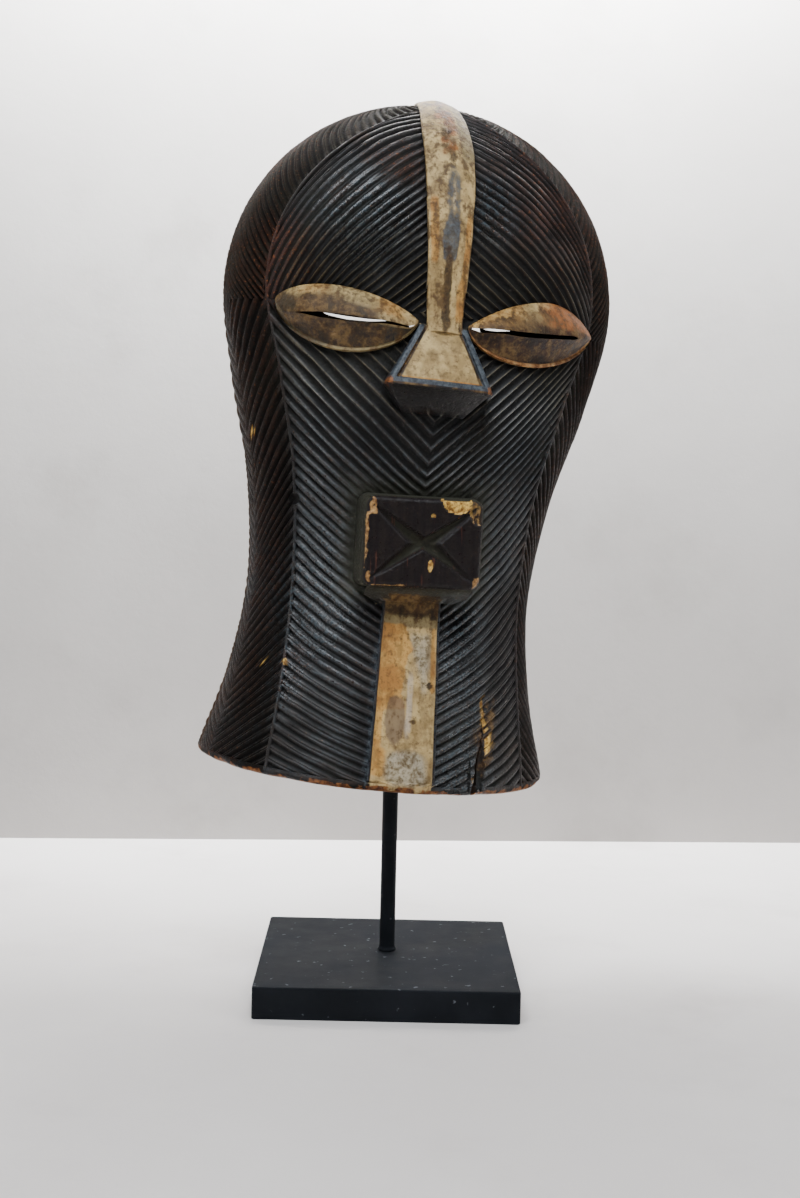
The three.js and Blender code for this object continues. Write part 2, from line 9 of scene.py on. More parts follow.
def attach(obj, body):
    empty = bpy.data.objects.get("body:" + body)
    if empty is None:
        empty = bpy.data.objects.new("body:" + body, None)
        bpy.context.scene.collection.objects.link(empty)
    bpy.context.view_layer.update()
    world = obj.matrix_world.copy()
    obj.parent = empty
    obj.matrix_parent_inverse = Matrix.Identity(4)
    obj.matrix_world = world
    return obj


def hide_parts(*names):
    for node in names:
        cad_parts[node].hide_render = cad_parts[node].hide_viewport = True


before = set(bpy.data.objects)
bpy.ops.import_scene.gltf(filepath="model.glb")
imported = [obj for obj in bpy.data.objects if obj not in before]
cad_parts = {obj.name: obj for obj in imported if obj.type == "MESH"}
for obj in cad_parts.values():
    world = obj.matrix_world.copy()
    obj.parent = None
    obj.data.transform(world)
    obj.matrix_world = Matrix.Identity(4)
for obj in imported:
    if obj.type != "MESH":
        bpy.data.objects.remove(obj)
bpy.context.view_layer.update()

# Sizes are in millimetres, in the mask's own frame: x to the viewer's right, y back, z up. A place on
# the skin is an angle from the middle or an x, with a reach, which is the height up to the base of the
# dome and goes on over the dome to its crown.
DOME_BASE, DOME_HEIGHT, CROWN = 250.0, 103.0, 400.0
DOME_HALF_WIDTH, DOME_DEPTH = 105.0, 70.0
STATIONS = [0, 45, 95, 150, 200, 250]
WALL = 9.0
EYE_LINE = 238.0
GROOVE = 1.4
FOREHEAD_PITCH, BAND_PITCH, CHIN_PITCH, NOSE_PITCH = 5.1, 4.3, 4.8, 7.2
BORDER_TURN_IN, LEAST_BORDER = 68.0, 9.0
RIM_BAND = 4.0
# the rounded lower rim, as (height, inset)
RIM_LEVELS = [(0, 4.2), (0.25, 3.1), (0.6, 2.2), (1.1, 1.5), (1.7, 1.0), (2.4, 0.7), (3.2, 0.5), (3.9, 0.4),
              (4.5, 0.4)]
WORN_CORNERS = [(-1, 10), (1, 7)]
CREST_STATIONS = [229, 250, 270, 287, 316, 345, 370, 400]
CHIN_TOP, CHIN_TOP_HALF, CHIN_BOTTOM_HALF = 96.0, 14.0, 16.6
# the reach above which the smooth crown fills in behind the flutes
SMOOTH_CROWN = 318
NOSE = Sizes(root=231.0, tip=201.0, foot=188.0, root_half=12.4, tip_half=26.8, foot_half=15.5, lift=12.0,
             shift=-1.2, border=2.8)
MOUTH = Sizes(x=-0.2, z=124.6, half_w=29.8, half_h=22.3, corner=4.8, front=82.5, back=60.0, edge=2.6,
              underside=94.0, tilt=math.radians(2.8))
CROSS = Sizes(x=26.0, z=18.3, narrow=2.8, wide=5.8, depth=4.2)
# places where wood has chipped off the mouth: centre, half sizes, depth
MOUTH_CHIPS = [(16, 21.5, 7.2, 6.6, 1.9), (27.5, 18, 5, 8, 1.2), (4, 14, 1.4, 1.2, 0.8),
               (-5.5, 16, 0.8, 3.4, 0.5), (3.6, -10, 0.9, 3.2, 0.7), (-29, 18, 3.5, 4.5, 1.0),
               (-29, -19, 4.5, 5, 1.0), (28, -20, 3, 2.5, 0.6)]
# each eye's corners, its heights above and below the line between them, and the slot along its ridge as
# (share of the width, half height); the window, as (share, centre, half height), runs through the wood
EYES = [
    Sizes(side=-1, inner=(12.5, 233.0), outer=(81.6, 237.4), slit=228.8, outer_rise=2.6,
          above=11.4, above_skew=1.25, above_powers=(0.6, 0.6),
          below=20.7, below_skew=1.1, below_powers=(0.6, 0.6),
          slot=[(0.03, 0.2), (0.06, 0.38), (0.17, 0.65), (0.25, 0.85), (0.4, 1.35), (0.5, 1.57), (0.6, 1.55),
                (0.66, 1.4), (0.74, 0.7), (0.82, 0.05)],
          window=[(0.225, 0.5, 0.03), (0.25, 0.45, 0.26), (0.35, -0.05, 0.52), (0.49, -0.15, 0.68),
                  (0.61, 0.6, 0.4), (0.64, 1.0, 0.03)],
          sight=(0.165, 0.098)),
    Sizes(side=1, inner=(12.5, 233.5), outer=(85.3, 239.2), slit=231.5, outer_rise=5.7,
          above=14.8, above_skew=1.27, above_powers=(0.7, 1.0),
          below=18.4, below_skew=1.0, below_powers=(0.52, 0.7),
          slot=[(0.02, 0.4), (0.08, 1.15), (0.2, 1.1), (0.38, 1.3), (0.5, 1.2), (0.65, 1.1), (0.74, 0.95),
                (0.77, 0.1)],
          window=[(0.085, 0.7, 0.03), (0.12, 0.6, 0.5), (0.17, 0.4, 0.5), (0.236, 0.6, 0.17),
                  (0.254, 0.7, 0.02)],
          sight=(0.25, 0.101)),
]
EYE_BULGE, EYE_LEDGE = 9.0, 1.6
# broken places: x, reach, half width, half height, depth, seed
LOST_WOOD = [(46.3, 26, 1.4, 4.6, 1.4, 111), (44, 35.5, 1.3, 4.5, 1.0, 119), (41.4, 45.5, 1.2, 4, 0.8, 129),
             (42.5, 13, 3.0, 11, 2.6, 121), (36.4, 10, 1.1, 9, 1.2, 123), (-62, 139, 3, 3.5, 1.4, 115),
             (64, 175, 3, 3, 1.2, 117)]
MASK_PLACE = np.array([-12.0, 52.0, 107.0])
MASK_TURN, MASK_LEAN = math.radians(10.7), math.radians(4.8)
ROD = Sizes(radius=4.0, top=405.0, y=4, bar_radius=3.0, bar_half=23.0, bar_z=396,
            foot=[(16.3, 4.6), (16.6, 4.9), (17.1, 4.7), (17.8, 4.15), (18.6, 4.0)])
PLATE = Sizes(half=65.0, thick=16.0, edge=0.7, corner=1.2)
# nothing of the front lies behind this y; a distance larger than any on the mask
FRONT_ONLY, FAR = -20.0, 99.0
ROWS_PER_HALF_FLUTE = 4


def curve(xs, ys):
    """A smooth curve through a few stations, straight below the first and level at the last."""
    xs, ys = np.array(xs, float), np.array(ys, float)
    before = np.maximum(np.arange(len(xs)) - 1, 0)
    slopes = np.zeros(len(xs))
    slopes[:-1] = (ys[1:] - ys[before[:-1]]) / (xs[1:] - xs[before[:-1]])

    def at(x):
        x = np.asarray(x, float)
        i = np.clip(np.searchsorted(xs, x, side="right") - 1, 0, len(xs) - 2)
        span = xs[i + 1] - xs[i]
        t = (x - xs[i]) / span
        rise, fall, change = slopes[i] * span, slopes[i + 1] * span, ys[i + 1] - ys[i]
        inside = ys[i] + t * (rise + t * ((3 * change - 2 * rise - fall) + t * (rise + fall - 2 * change)))
        low = ys[0] + slopes[0] * (x - xs[0])
        return np.where(x <= xs[0], low, np.where(x >= xs[-1], ys[-1], inside))

    return at


half_width = curve(STATIONS, [95.5, 83, 77, 83, 96, DOME_HALF_WIDTH])
front_depth = curve(STATIONS, [91, 81, 69.5, 71, 77, DOME_DEPTH])
border_plain = {-1: curve(STATIONS, [43.5, 47, 49.5, 49.5, 51.5, 55.5]),
                1: curve(STATIONS, [47.5, 53, 54.5, 49.5, 48.5, 53])}
side_line = curve(STATIONS, [73, 75.5, 77, 77.5, 78, 83])
chin_slope = {-1: curve([0, 50, 80, 110, 150, 180, 240], [0.48, 0.56, 0.7, 0.84, 1.02, 1.38, 1.55]),
              1: curve([0, 50, 80, 110, 150, 180, 240], [0.75, 0.82, 1, 1.15, 1.45, 1.7, 1.75])}
fore_slope = {-1: curve([238, 265, 285, 305, 325, 345, 400], [1.6, 1.6, 1.6, 1.6, 1.05, 0.6, 0.35]),
              1: curve([238, 265, 285, 305, 325, 345, 400], [1.15, 1.12, 0.95, 0.82, 0.7, 0.5, 0.35])}
steepening = {-1: curve([238, 265, 285, 305, 330, 400], [1.2, 1.2, 1.2, 1.3, 2.6, 2.6]),
              1: curve([238, 265, 285, 305, 330, 400], [0.9, 0.9, 1.6, 2.8, 2.9, 2.9])}
side_slope = curve([0, 50, 100, 150, 200, 240], [1, 1.25, 1.38, 1.6, 1.65, 1.9])
crest_left = curve(CREST_STATIONS, [8.5, 9.7, 11.2, 12.8, 14.7, 15.5, 15, 14])
crest_right = curve(CREST_STATIONS, [9.5, 9.7, 10.4, 10.9, 11, 8.8, 6, 5])

TABLE_SIZE = 64
noise_table = np.random.default_rng(11).random((TABLE_SIZE, TABLE_SIZE, TABLE_SIZE))


def noise(points, scale, seed=0):
    """Smooth noise from -1 to 1 at points, with features about scale apart."""
    q = np.asarray(points, float) / scale + 11.7 + seed * 5.31
    i = np.floor(q).astype(int)
    f = q - i
    f = f * f * (3 - 2 * f)
    total = 0
    for step in np.ndindex(2, 2, 2):
        share = np.where(step, f, 1 - f).prod(-1)
        x, y, z = np.moveaxis((i + step) % TABLE_SIZE, -1, 0)
        total = total + share * noise_table[x, y, z]
    return total * 2 - 1


def layered(points, scale, seed=0, octaves=3):
    return sum(noise(points, scale / 2 ** k, seed + k) / 1.7 ** k for k in range(octaves)) / 1.6


def smooth(low, high, x):
    t = np.clip((np.asarray(x, float) - low) / (high - low), 0, 1)
    return t * t * (3 - 2 * t)


def lerp(a, b, t):
    return a + (b - a) * t


def dome_turn(reach):
    """How far round the dome a reach lies, from 0 at its base to a quarter turn at its crown."""
    return np.clip((reach - DOME_BASE) / (CROWN - DOME_BASE), 0, 1) * math.pi / 2


def skin(angle, reach, inset=0.0):
    """The plain outside of the mask, or the same form inset."""
    angle, reach = np.broadcast_arrays(np.asarray(angle, float), np.asarray(reach, float))
    turn = dome_turn(reach)
    height = np.minimum(reach, DOME_BASE)
    return np.stack([
        (half_width(height) - inset) * np.cos(turn) * np.sin(angle),
        -(front_depth(height) - inset) * np.cos(turn) * np.cos(angle),
        height + (DOME_HEIGHT - inset) * np.sin(turn)], -1)


def on_skin(angle, reach, lift=0.0):
    """A point of the plain outside, lifted square to it."""
    across = skin(angle + 0.002, reach) - skin(angle - 0.002, reach)
    along = skin(angle, reach + 0.5) - skin(angle, reach - 0.5)
    normal = np.cross(across, along)
    normal /= np.linalg.norm(normal, axis=-1, keepdims=True) + 1e-9
    return skin(angle, reach) + normal * np.asarray(lift, float)[..., None]


def angle_at_x(x, reach):
    width = half_width(np.minimum(reach, DOME_BASE)) * np.cos(dome_turn(reach))
    return np.arcsin(np.clip(x / width, -1, 1))


def crest_span(reach):
    """The middle and the half width of the crest, which isn't the same to both sides of the face's middle."""
    return (crest_right(reach) - crest_left(reach)) / 2, (crest_right(reach) + crest_left(reach)) / 2


def on_face(x, reach, lift=0.0):
    """The same for a place given by its x."""
    x, reach = np.broadcast_arrays(np.asarray(x, float), np.asarray(reach, float))
    return on_skin(angle_at_x(x, reach), reach, np.broadcast_to(lift, x.shape))


def border_angle(side, reach):
    turn_in = BORDER_TURN_IN * (dome_turn(reach) / (math.pi / 2)) ** 2.5
    return np.maximum(border_plain[side](reach) - turn_in, LEAST_BORDER)


def add_object(name, data):
    obj = bpy.data.objects.new(name, data)
    bpy.context.scene.collection.objects.link(obj)
    return obj


# closed solids as mesh objects, and what joins and cuts them
def solid(name, points, faces):
    mesh = bpy.data.meshes.new(name)
    mesh.from_pydata([tuple(p) for p in points], [], [tuple(f) for f in faces])
    mesh.update()
    tris = np.array(faces)
    pts = np.array(points)
    a, b, c = pts[tris[:, 0]], pts[tris[:, 1]], pts[tris[:, 2]]
    if np.einsum("ij,ij->i", a, np.cross(b, c)).sum() < 0:
        mesh.flip_normals()
    return add_object(name, mesh)


def loft(name, rings, start=None, end=None):
    """A solid from closed rings of points, each end closed by a fan to one point."""
    rings = np.asarray(rings, float)
    count, size = rings.shape[:2]
    points = np.concatenate([rings.reshape(-1, 3), [rings[0].mean(0) if start is None else start],
                             [rings[-1].mean(0) if end is None else end]])
    first, last = count * size, count * size + 1
    i = np.arange(size)
    n = (i + 1) % size
    top = (count - 1) * size
    faces = [np.stack([np.full(size, first), n, i], 1), np.stack([np.full(size, last), top + i, top + n], 1)]
    for r in range(count - 1):
        a, b = r * size + i, r * size + n
        faces += [np.stack([a, b, b + size], 1), np.stack([a, b + size, a + size], 1)]
    return solid(name, points, np.concatenate(faces).tolist())


def combine(target, other, operation):
    modifier = target.modifiers.new("join", "BOOLEAN")
    modifier.solver = "MANIFOLD"
    modifier.operation = operation
    modifier.object = other
    graph = bpy.context.evaluated_depsgraph_get()
    mesh = bpy.data.meshes.new_from_object(target.evaluated_get(graph))
    if len(mesh.polygons) == 0 or len(mesh.vertices) == len(target.data.vertices):
        print("boolean left", target.name, operation, other.name, "unchanged")
    target.modifiers.clear()
    target.data = mesh
    bpy.data.objects.remove(other, do_unlink=True)
    return target


def points_of(mesh):
    points = np.empty(len(mesh.vertices) * 3)
    mesh.vertices.foreach_get("co", points)
    return points.reshape(-1, 3)


def smooth_shaded(obj, degrees=35):
    obj.data.polygons.foreach_set("use_smooth", [True] * len(obj.data.polygons))
    obj.data.set_sharp_from_angle(angle=math.radians(degrees))


def box(name, low, high):
    x0, y0, z0 = low
    x1, y1, z1 = high
    return loft(name, [[(x0, y0, z), (x1, y0, z), (x1, y1, z), (x0, y1, z)] for z in (z0, z1)])


def flute_rows(first, last, pitch_at):
    knots = [first]
    while knots[-1] <= last:
        knots.append(knots[-1] + pitch_at(knots[-1]) / 2)
    knots = np.array(knots[:-1])
    phase = np.linspace(0, len(knots) - 1, (len(knots) - 1) * ROWS_PER_HALF_FLUTE + 1)
    return np.interp(phase, np.arange(len(knots)), knots), phase


def chin_path(side, starts, steps=48, every=4, band_steps=24):
    reach = starts.copy()
    angles, reaches = [np.zeros_like(starts)], [starts]
    for i in range(steps):
        line = border_angle(side, reach)
        angle = line * (i + 0.5) / steps
        steeper = 1 + (0.4 * np.clip((reach - 120) / 40, 0, 1) * (angle / 50) ** 3 if side > 0 else 0)
        reach = reach + chin_slope[side](reach) * steeper * line / steps
        if (i + 1) % every == 0:
            angles.append(border_angle(side, reach) * (i + 1) / steps)
            reaches.append(reach)
    for i in range(band_steps):
        reach = reach - side_slope(reach) * (side_line(reach) - border_angle(side, reach)) / band_steps
        if (i + 1) % 3 == 0:
            angles.append(lerp(border_angle(side, reach), side_line(reach), (i + 1) / band_steps))
            reaches.append(reach)
    for share in (1 / 3, 2 / 3, 1):
        angles.append(lerp(side_line(reach), 90, share))
        reaches.append(reach + 12 * share)
    return np.stack(angles, 1), np.stack(reaches, 1)


def forehead_path(side, starts):
    reach = starts.copy()
    angles, reaches = [np.zeros_like(starts)], [starts]
    for angle in range(58):
        steeper = 1 + steepening[side](reach) * ((angle + 0.5) / 50) ** 3
        reach = reach - fore_slope[side](reach) * steeper
        if angle % 2 == 1:
            angles.append(np.full_like(starts, angle + 1))
            reaches.append(reach)
    return np.stack(angles, 1), np.stack(reaches, 1)


def band_path(side, starts):
    line = border_angle(side, starts)
    rise = np.minimum(1.2 * (90 - line), 0.8 * (CROWN - starts))
    shares = np.linspace(-0.2, 1, 14)
    return line[:, None] + (90 - line)[:, None] * shares, starts[:, None] + rise[:, None] * shares


def mouth_frame(x, z):
    """Where a point of the front lies along and up the tilted mouth block, from the block's middle."""
    c, s = math.cos(MOUTH.tilt), math.sin(MOUTH.tilt)
    dx, dz = x - MOUTH.x, z - MOUTH.z
    return dx * c + dz * s, -dx * s + dz * c


def outside_mouth(a, b):
    """How far outside the block's rounded outline a point lies."""
    qa, qb = np.abs(a) - (MOUTH.half_w - MOUTH.corner), np.abs(b) - (MOUTH.half_h - MOUTH.corner)
    past_corner = np.hypot(np.maximum(qa, 0), np.maximum(qb, 0))
    return past_corner + np.minimum(np.maximum(qa, qb), 0) - MOUTH.corner


def mouth_distance(points):
    outside = outside_mouth(*mouth_frame(points[..., 0], points[..., 2]))
    return np.where(points[..., 1] < FRONT_ONLY, outside, FAR)


def groove_lift(points, phase, angle, reach):
    """How deep a point of a flute lies: ridges are whole even phases, grooves whole odd ones."""
    across = 0.5 - 0.5 * np.cos(math.pi * phase)[:, None]
    near_eye = smooth(55, 38, np.abs(angle)) * smooth(140, 170, reach) * smooth(292, 262, reach)
    fullness = lerp(1.45, 0.46, near_eye)
    depth = GROOVE * (1.05 + 0.2 * noise(points, 21, 1) + 0.15 * noise(points, 7, 2))
    depth = depth * (1 - 0.66 * smooth(60, 78, np.abs(angle)))
    worn = 0.5 * smooth(0.25, 0.8, layered(points, 24, 5))
    nick = 0.35 * smooth(0.5, 0.8, noise(points, 3.1, 9))
    score = 0.13 * noise(points, 1.7, 12)
    twin_here = smooth(0.0, 0.5, noise(points, 31, 14) + 0.45 * smooth(130, 60, reach)) * (1 - near_eye)
    twin = 0.6 * smooth(0.2, 0.03, across) * twin_here
    lift = -depth * across ** fullness * (1 - worn * 0.6) - (worn * 0.4 + nick) * (1 - across) + score - twin
    channel = smooth(5.0, 2.0, mouth_distance(points))
    lift = lerp(lift, -1.25 + 0.12 * noise(points, 4, 13), channel)
    lozenge = smooth(1.08, 0.9, np.abs(np.abs(angle) - 83.5) / 5.2 + np.abs(reach - 238) / 16)
    return lerp(lift, -0.5, lozenge)


def fluted(name, path, first, last, pitch_at, kind):
    """A solid whose outside is one family of flutes, as long as its path across both halves."""
    starts, phase = flute_rows(first, last, pitch_at)
    halves = []
    for side in (-1, 1):
        angles, reaches = path(side, starts)
        halves.append((side * angles, reaches))
    (left_a, left_r), (right_a, right_r) = halves
    skip = 0 if kind == "band" else 1
    angles = np.concatenate([left_a[:, ::-1], right_a[:, skip:]], 1)
    reaches = np.concatenate([left_r[:, ::-1], right_r[:, skip:]], 1)
    plain = skin(np.radians(angles), reaches)
    wander = 0.55 * noise(plain, 17, 3) + 0.25 * noise(plain, 6, 4)
    reaches = reaches + wander * np.where(reaches > 380, 0, 1)
    lift = groove_lift(plain, phase, angles, reaches)
    rings = on_skin(np.radians(angles), reaches, lift)
    rings[..., 1] = np.where(np.abs(angles) >= 89.99, 0.0, rings[..., 1])
    if kind == "forehead":
        back = np.zeros((len(rings), 1, 3))
        back[:, 0, 1], back[:, 0, 2] = 4, np.minimum(rings[:, 0, 2], rings[:, -1, 2])
        rings = np.concatenate([rings, back], 1)
    start = (0, -20, rings[0, rings.shape[1] // 2, 2])
    end = None if kind == "chin" else (0, -0.5, DOME_BASE + DOME_HEIGHT - 0.4)
    return loft(name, rings, start, end)


def forehead_space(narrowing):
    reaches = np.linspace(EYE_LINE - 20, CROWN - 1, 48)
    rings = []
    for reach in reaches:
        ring = [(0, 8, skin(0, reach)[2])]
        for side in (-1, 1):
            line = math.radians(border_angle(side, reach) - narrowing)
            shares = (1, 0.75, 0.5) if side < 0 else (0.5, 0.75, 1)
            for share in shares:
                p = skin(side * line * share, reach)
                ring.append((p[0] * 1.4, p[1] * 1.4, p[2]))
        rings.append(ring)
    top = [(p[0], p[1], DOME_BASE + DOME_HEIGHT + 12) for p in rings[-1]]
    return loft("space", rings + [top])


def smooth_solid(name, inset, lowest, behind, rows, across, rough=0.0):
    reach = np.linspace(lowest, CROWN - 8, rows)[:, None]
    angle = np.linspace(-math.pi / 2, math.pi / 2, across + 1)[None]
    rings = skin(angle, reach, inset)
    if rough:
        out = rings * [1, 1, 0]
        out /= np.linalg.norm(out, axis=-1, keepdims=True) + 1e-6
        inner = smooth(90, 80, np.degrees(np.abs(angle)))
        rings = rings + out * (rough * layered(rings * [1, 1, 0.35], 14, 21) * inner)[..., None]
    if behind > 0:
        back = rings[:, [-1, 0]].copy()
        back[..., 1] = behind
        rings = np.concatenate([rings, back], 1)
    return loft(name, rings, None, (0, behind / 2, DOME_BASE + DOME_HEIGHT - inset))


def rim_band():
    angle = np.linspace(-math.pi / 2, math.pi / 2, 181)
    rings = []
    for height, inset in RIM_LEVELS:
        p = skin(angle, height)
        out = p * [1, 1, 0]
        out /= np.linalg.norm(out, axis=-1, keepdims=True)
        chip = np.clip(layered(p * [1, 1, 0], 12, 31), 0, 1) * smooth(4.5, 0, height) * 1.8
        wear = inset + 0.35 * layered(p, 9, 33) * smooth(4.5, 3, height) + chip
        wear = wear * smooth(math.pi / 2, math.pi / 2 - 0.05, np.abs(angle))
        q = p - out * wear[:, None]
        q[:, 2] = height + np.clip(noise(p * [1, 1, 0], 16, 35), 0, 1) * 0.5 * smooth(2, 0, height)
        q[[0, -1], 1] = 0
        rings.append(q)
    return loft("rim", rings)


def border_rib(side):
    """The narrow smooth rib where two families of flutes meet."""
    reaches = np.linspace(RIM_BAND - 1, 389, 330)
    line = np.radians(border_angle(side, reaches)) * side
    centre = on_skin(line, reaches, 0)
    nudge = 0.25 * noise(centre, 14, 41)
    rings = []
    section = [(-1.5, -1.9), (-1.25, -0.7), (-0.7, 0.18), (0, 0.42), (0.7, 0.18), (1.25, -0.7), (1.5, -1.9)]
    width = half_width(np.minimum(reaches, DOME_BASE)) * np.maximum(np.cos(dome_turn(reaches)), 0.05)
    wear = 0.28 * np.clip(noise(centre, 4, 43), 0, 1)
    for across, lift in section:
        rings.append(on_skin(line + (across + nudge) / width, reaches, lift - 0.12 - wear * (lift > -1)))
    return loft("rib", np.stack(rings, 1))


def on_dome(x, y, lift):
    a, b = DOME_HALF_WIDTH, DOME_DEPTH
    height = DOME_HEIGHT * np.sqrt(np.maximum(0, 1 - (x / a) ** 2 - (y / b) ** 2))
    normal = np.stack([x / a ** 2, y / b ** 2, height / DOME_HEIGHT ** 2], -1)
    normal /= np.linalg.norm(normal, axis=-1, keepdims=True)
    return np.stack([x, y, DOME_BASE + height], -1) + normal * lift[..., None]


def crest():
    across = np.concatenate([[-1, -1, -0.97], np.linspace(-0.9, 0.9, 19), [0.97, 1, 1]])
    lifts = 0.75 + 1.9 * (1 - np.abs(across) ** 1.7)
    lifts[[1, -2]] = 0.5
    lifts[[0, -1]] = -4
    rings = []
    for reach in np.linspace(229, CROWN, 130):
        middle, half = crest_span(reach)
        x = middle + across * half
        depth = DOME_DEPTH * math.cos(dome_turn(reach)) if reach > DOME_BASE else front_depth(reach)
        y = np.full_like(x, -depth)
        plain = on_face(x, reach) if reach < DOME_BASE else on_dome(x, y, np.zeros_like(x))
        body = (lifts > -3)
        lift = lifts + body * (0.16 * layered(plain, 9, 51) + 0.08 * noise(plain, 2.5, 53))
        x = x + body * np.sign(across) * smooth(0.8, 1, np.abs(across)) * 0.35 * noise(plain, 11, 55)
        rings.append(on_face(x, reach, lift) if reach < DOME_BASE else on_dome(x, y, lift))
    back = rings[-1].copy()
    back[:, 1] = -0.001
    return loft("crest", rings + [back])


def chin_half(reach):
    return lerp(CHIN_BOTTOM_HALF, CHIN_TOP_HALF, reach / CHIN_TOP)


def chin_loft(name, profile_x, profile_lift, reaches, inset_at, rough):
    rings = []
    for reach in reaches:
        x = np.array(profile_x) * chin_half(reach)
        lift = np.array(profile_lift, float) - inset_at(reach)
        plain = on_face(x, reach)
        top = np.array(profile_lift) > -2
        lift = lift + top * rough * (0.2 * layered(plain, 8, 61) + 0.1 * noise(plain, 2.2, 63))
        rings.append(on_face(x, reach, lift))
    return loft(name, rings)


def chin_channel():
    xs, lifts = [-1.04, -1.04, 0, 1.04, 1.04, 0], [-3, 4, 4, 4, -3, -3]
    return chin_loft("channel", xs, lifts, np.linspace(6.0, CHIN_TOP, 30), lambda r: 0, 0)


def chin_strip():
    xs = np.array([-1.05, -1.05, -1.03, -0.98, -0.93, -0.86, -0.76, -0.65, -0.54, -0.42, -0.3, -0.18, -0.06,
                   0.06, 0.18, 0.3, 0.42, 0.54, 0.65, 0.76, 0.86, 0.93, 0.98, 1.03, 1.05, 1.05, 0])
    dish = [-0.5, -0.64, -0.76, -0.88, -0.98, -1.06, -1.12, -1.15]
    lifts = [-5, -0.1, 0.3, 0.3, -0.3] + dish + dish[::-1] + [-0.3, 0.3, 0.3, -0.1, -5, -5]
    inset = lambda r: 0.5 * smooth(8.5, 5.6, r)
    reaches = np.linspace(5.4, CHIN_TOP, 96)
    return chin_loft("strip", xs, lifts, reaches, inset, 1)


# eyes
def eye_line(eye, u):
    return lerp(eye.inner[0], eye.outer[0], u) * eye.side, lerp(eye.inner[1], eye.outer[1], u)


def eye_hump(u, skew=1.0, powers=(0.6, 0.6)):
    w = np.asarray(u, float) ** skew
    return np.maximum(4 * w * (1 - w), 0) ** np.where(w < 0.5, powers[0], powers[1])


def eye_edges(eye, u):
    line = eye_line(eye, u)[1]
    return (line + eye.above * eye_hump(u, eye.above_skew, eye.above_powers),
            line - eye.below * eye_hump(u, eye.below_skew, eye.below_powers))


def eye_slit_reach(eye, u):
    line = eye_line(eye, u)[1]
    slit = eye.slit + eye.outer_rise * np.clip((np.asarray(u, float) - 0.3) / 0.6, 0, 1) ** 1.4
    return lerp(line, slit, np.minimum(1, 2.2 * eye_hump(u)))


def eye_bulge(u):
    return EYE_BULGE * np.minimum(1, 1.25 * eye_hump(u) ** 1.2)


def eye_solid(eye):
    rings = []
    for i in range(73):
        u = lerp(0.004, 0.996, (1 - math.cos(math.pi * i / 72)) / 2)
        x, _ = eye_line(eye, u)
        top, bottom = eye_edges(eye, u)
        slit = eye_slit_reach(eye, u)
        bulge = float(eye_bulge(u))
        ledge = min(2.2, 0.15 * (slit - bottom))
        s = np.linspace(0, 1, 14)
        upper_reach = lerp(top, slit, s)
        upper_lift = 0.6 + (bulge - 0.6) * np.sin(s * math.pi / 2) ** 0.85
        lower_reach = lerp(slit, bottom + ledge, s[1:])
        lower_lift = lerp(bulge, 0.7, s[1:]) - 0.9 * np.sin(s[1:] * math.pi) * min(1, bulge / 6)
        reach = np.concatenate([[top, top + 0.01], upper_reach[1:], lower_reach,
                                [bottom + ledge * 0.7, bottom + ledge * 0.25, bottom, bottom]])
        lift = np.concatenate([[-5, 0.5], upper_lift[1:], lower_lift,
                               [EYE_LEDGE * 0.85, EYE_LEDGE, EYE_LEDGE * 0.6, -5]])
        xs = np.full_like(reach, x)
        plain = on_face(xs, reach)
        body = lift > -4
        lift = lift + body * min(1, bulge / 4) * (0.2 * layered(plain, 7, 71) + 0.08 * noise(plain, 2, 73))
        rings.append(on_face(xs, reach, lift))
    return loft("eye", rings)


def eye_ridge(eye, u):
    x, _ = eye_line(eye, u)
    return on_face(x, eye_slit_reach(eye, u), eye_bulge(u))


def slot_half(eye, u):
    return np.interp(u, *zip(*eye.slot))


def eye_slot(eye):
    """The dark slot along the ridge of an eye, which ends inside the wood."""
    rings = []
    rise = np.array([eye.sight[0], 1, eye.sight[1]])
    for share in np.linspace(0, 1, 61):
        u = lerp(eye.slot[0][0], eye.slot[-1][0], share)
        tall = slot_half(eye, u) + 0.08 * float(noise(np.array([u * 70, 1.0, 2.0]), 2.2, 75 + eye.side))
        front, back = eye_ridge(eye, u) - 4 * rise, eye_ridge(eye, u) + 14 * rise
        up = np.array([0, 0, max(tall, 0.03)])
        rings.append([front + up, front - up, back - up * 0.9, back + up * 0.9])
    return loft("slot", rings)


def eye_window(eye):
    """Where a slot runs right through, along the line of sight."""
    rings = []
    rise = np.array([eye.sight[0], 1, eye.sight[1]])
    shares, centres, halves = (np.array(v) for v in zip(*eye.window))
    for u in np.linspace(shares[0], shares[-1], 25):
        p = eye_ridge(eye, u) + np.array([0, 0, np.interp(u, shares, centres)])
        up = np.array([0, 0, np.interp(u, shares, halves)])
        near, far = p + 9 * rise, p + 34 * rise
        rings.append([near + up, near - up, far - up * 1.5, far + up * 1.5])
    return loft("window", rings)


# nose
def down_nose(reach):
    return np.clip((NOSE.root - reach) / (NOSE.root - NOSE.tip), 0, 1)


def nose_shift(reach):
    return NOSE.shift * down_nose(reach)


def nose_half(reach):
    return lerp(NOSE.root_half, NOSE.tip_half, down_nose(reach))


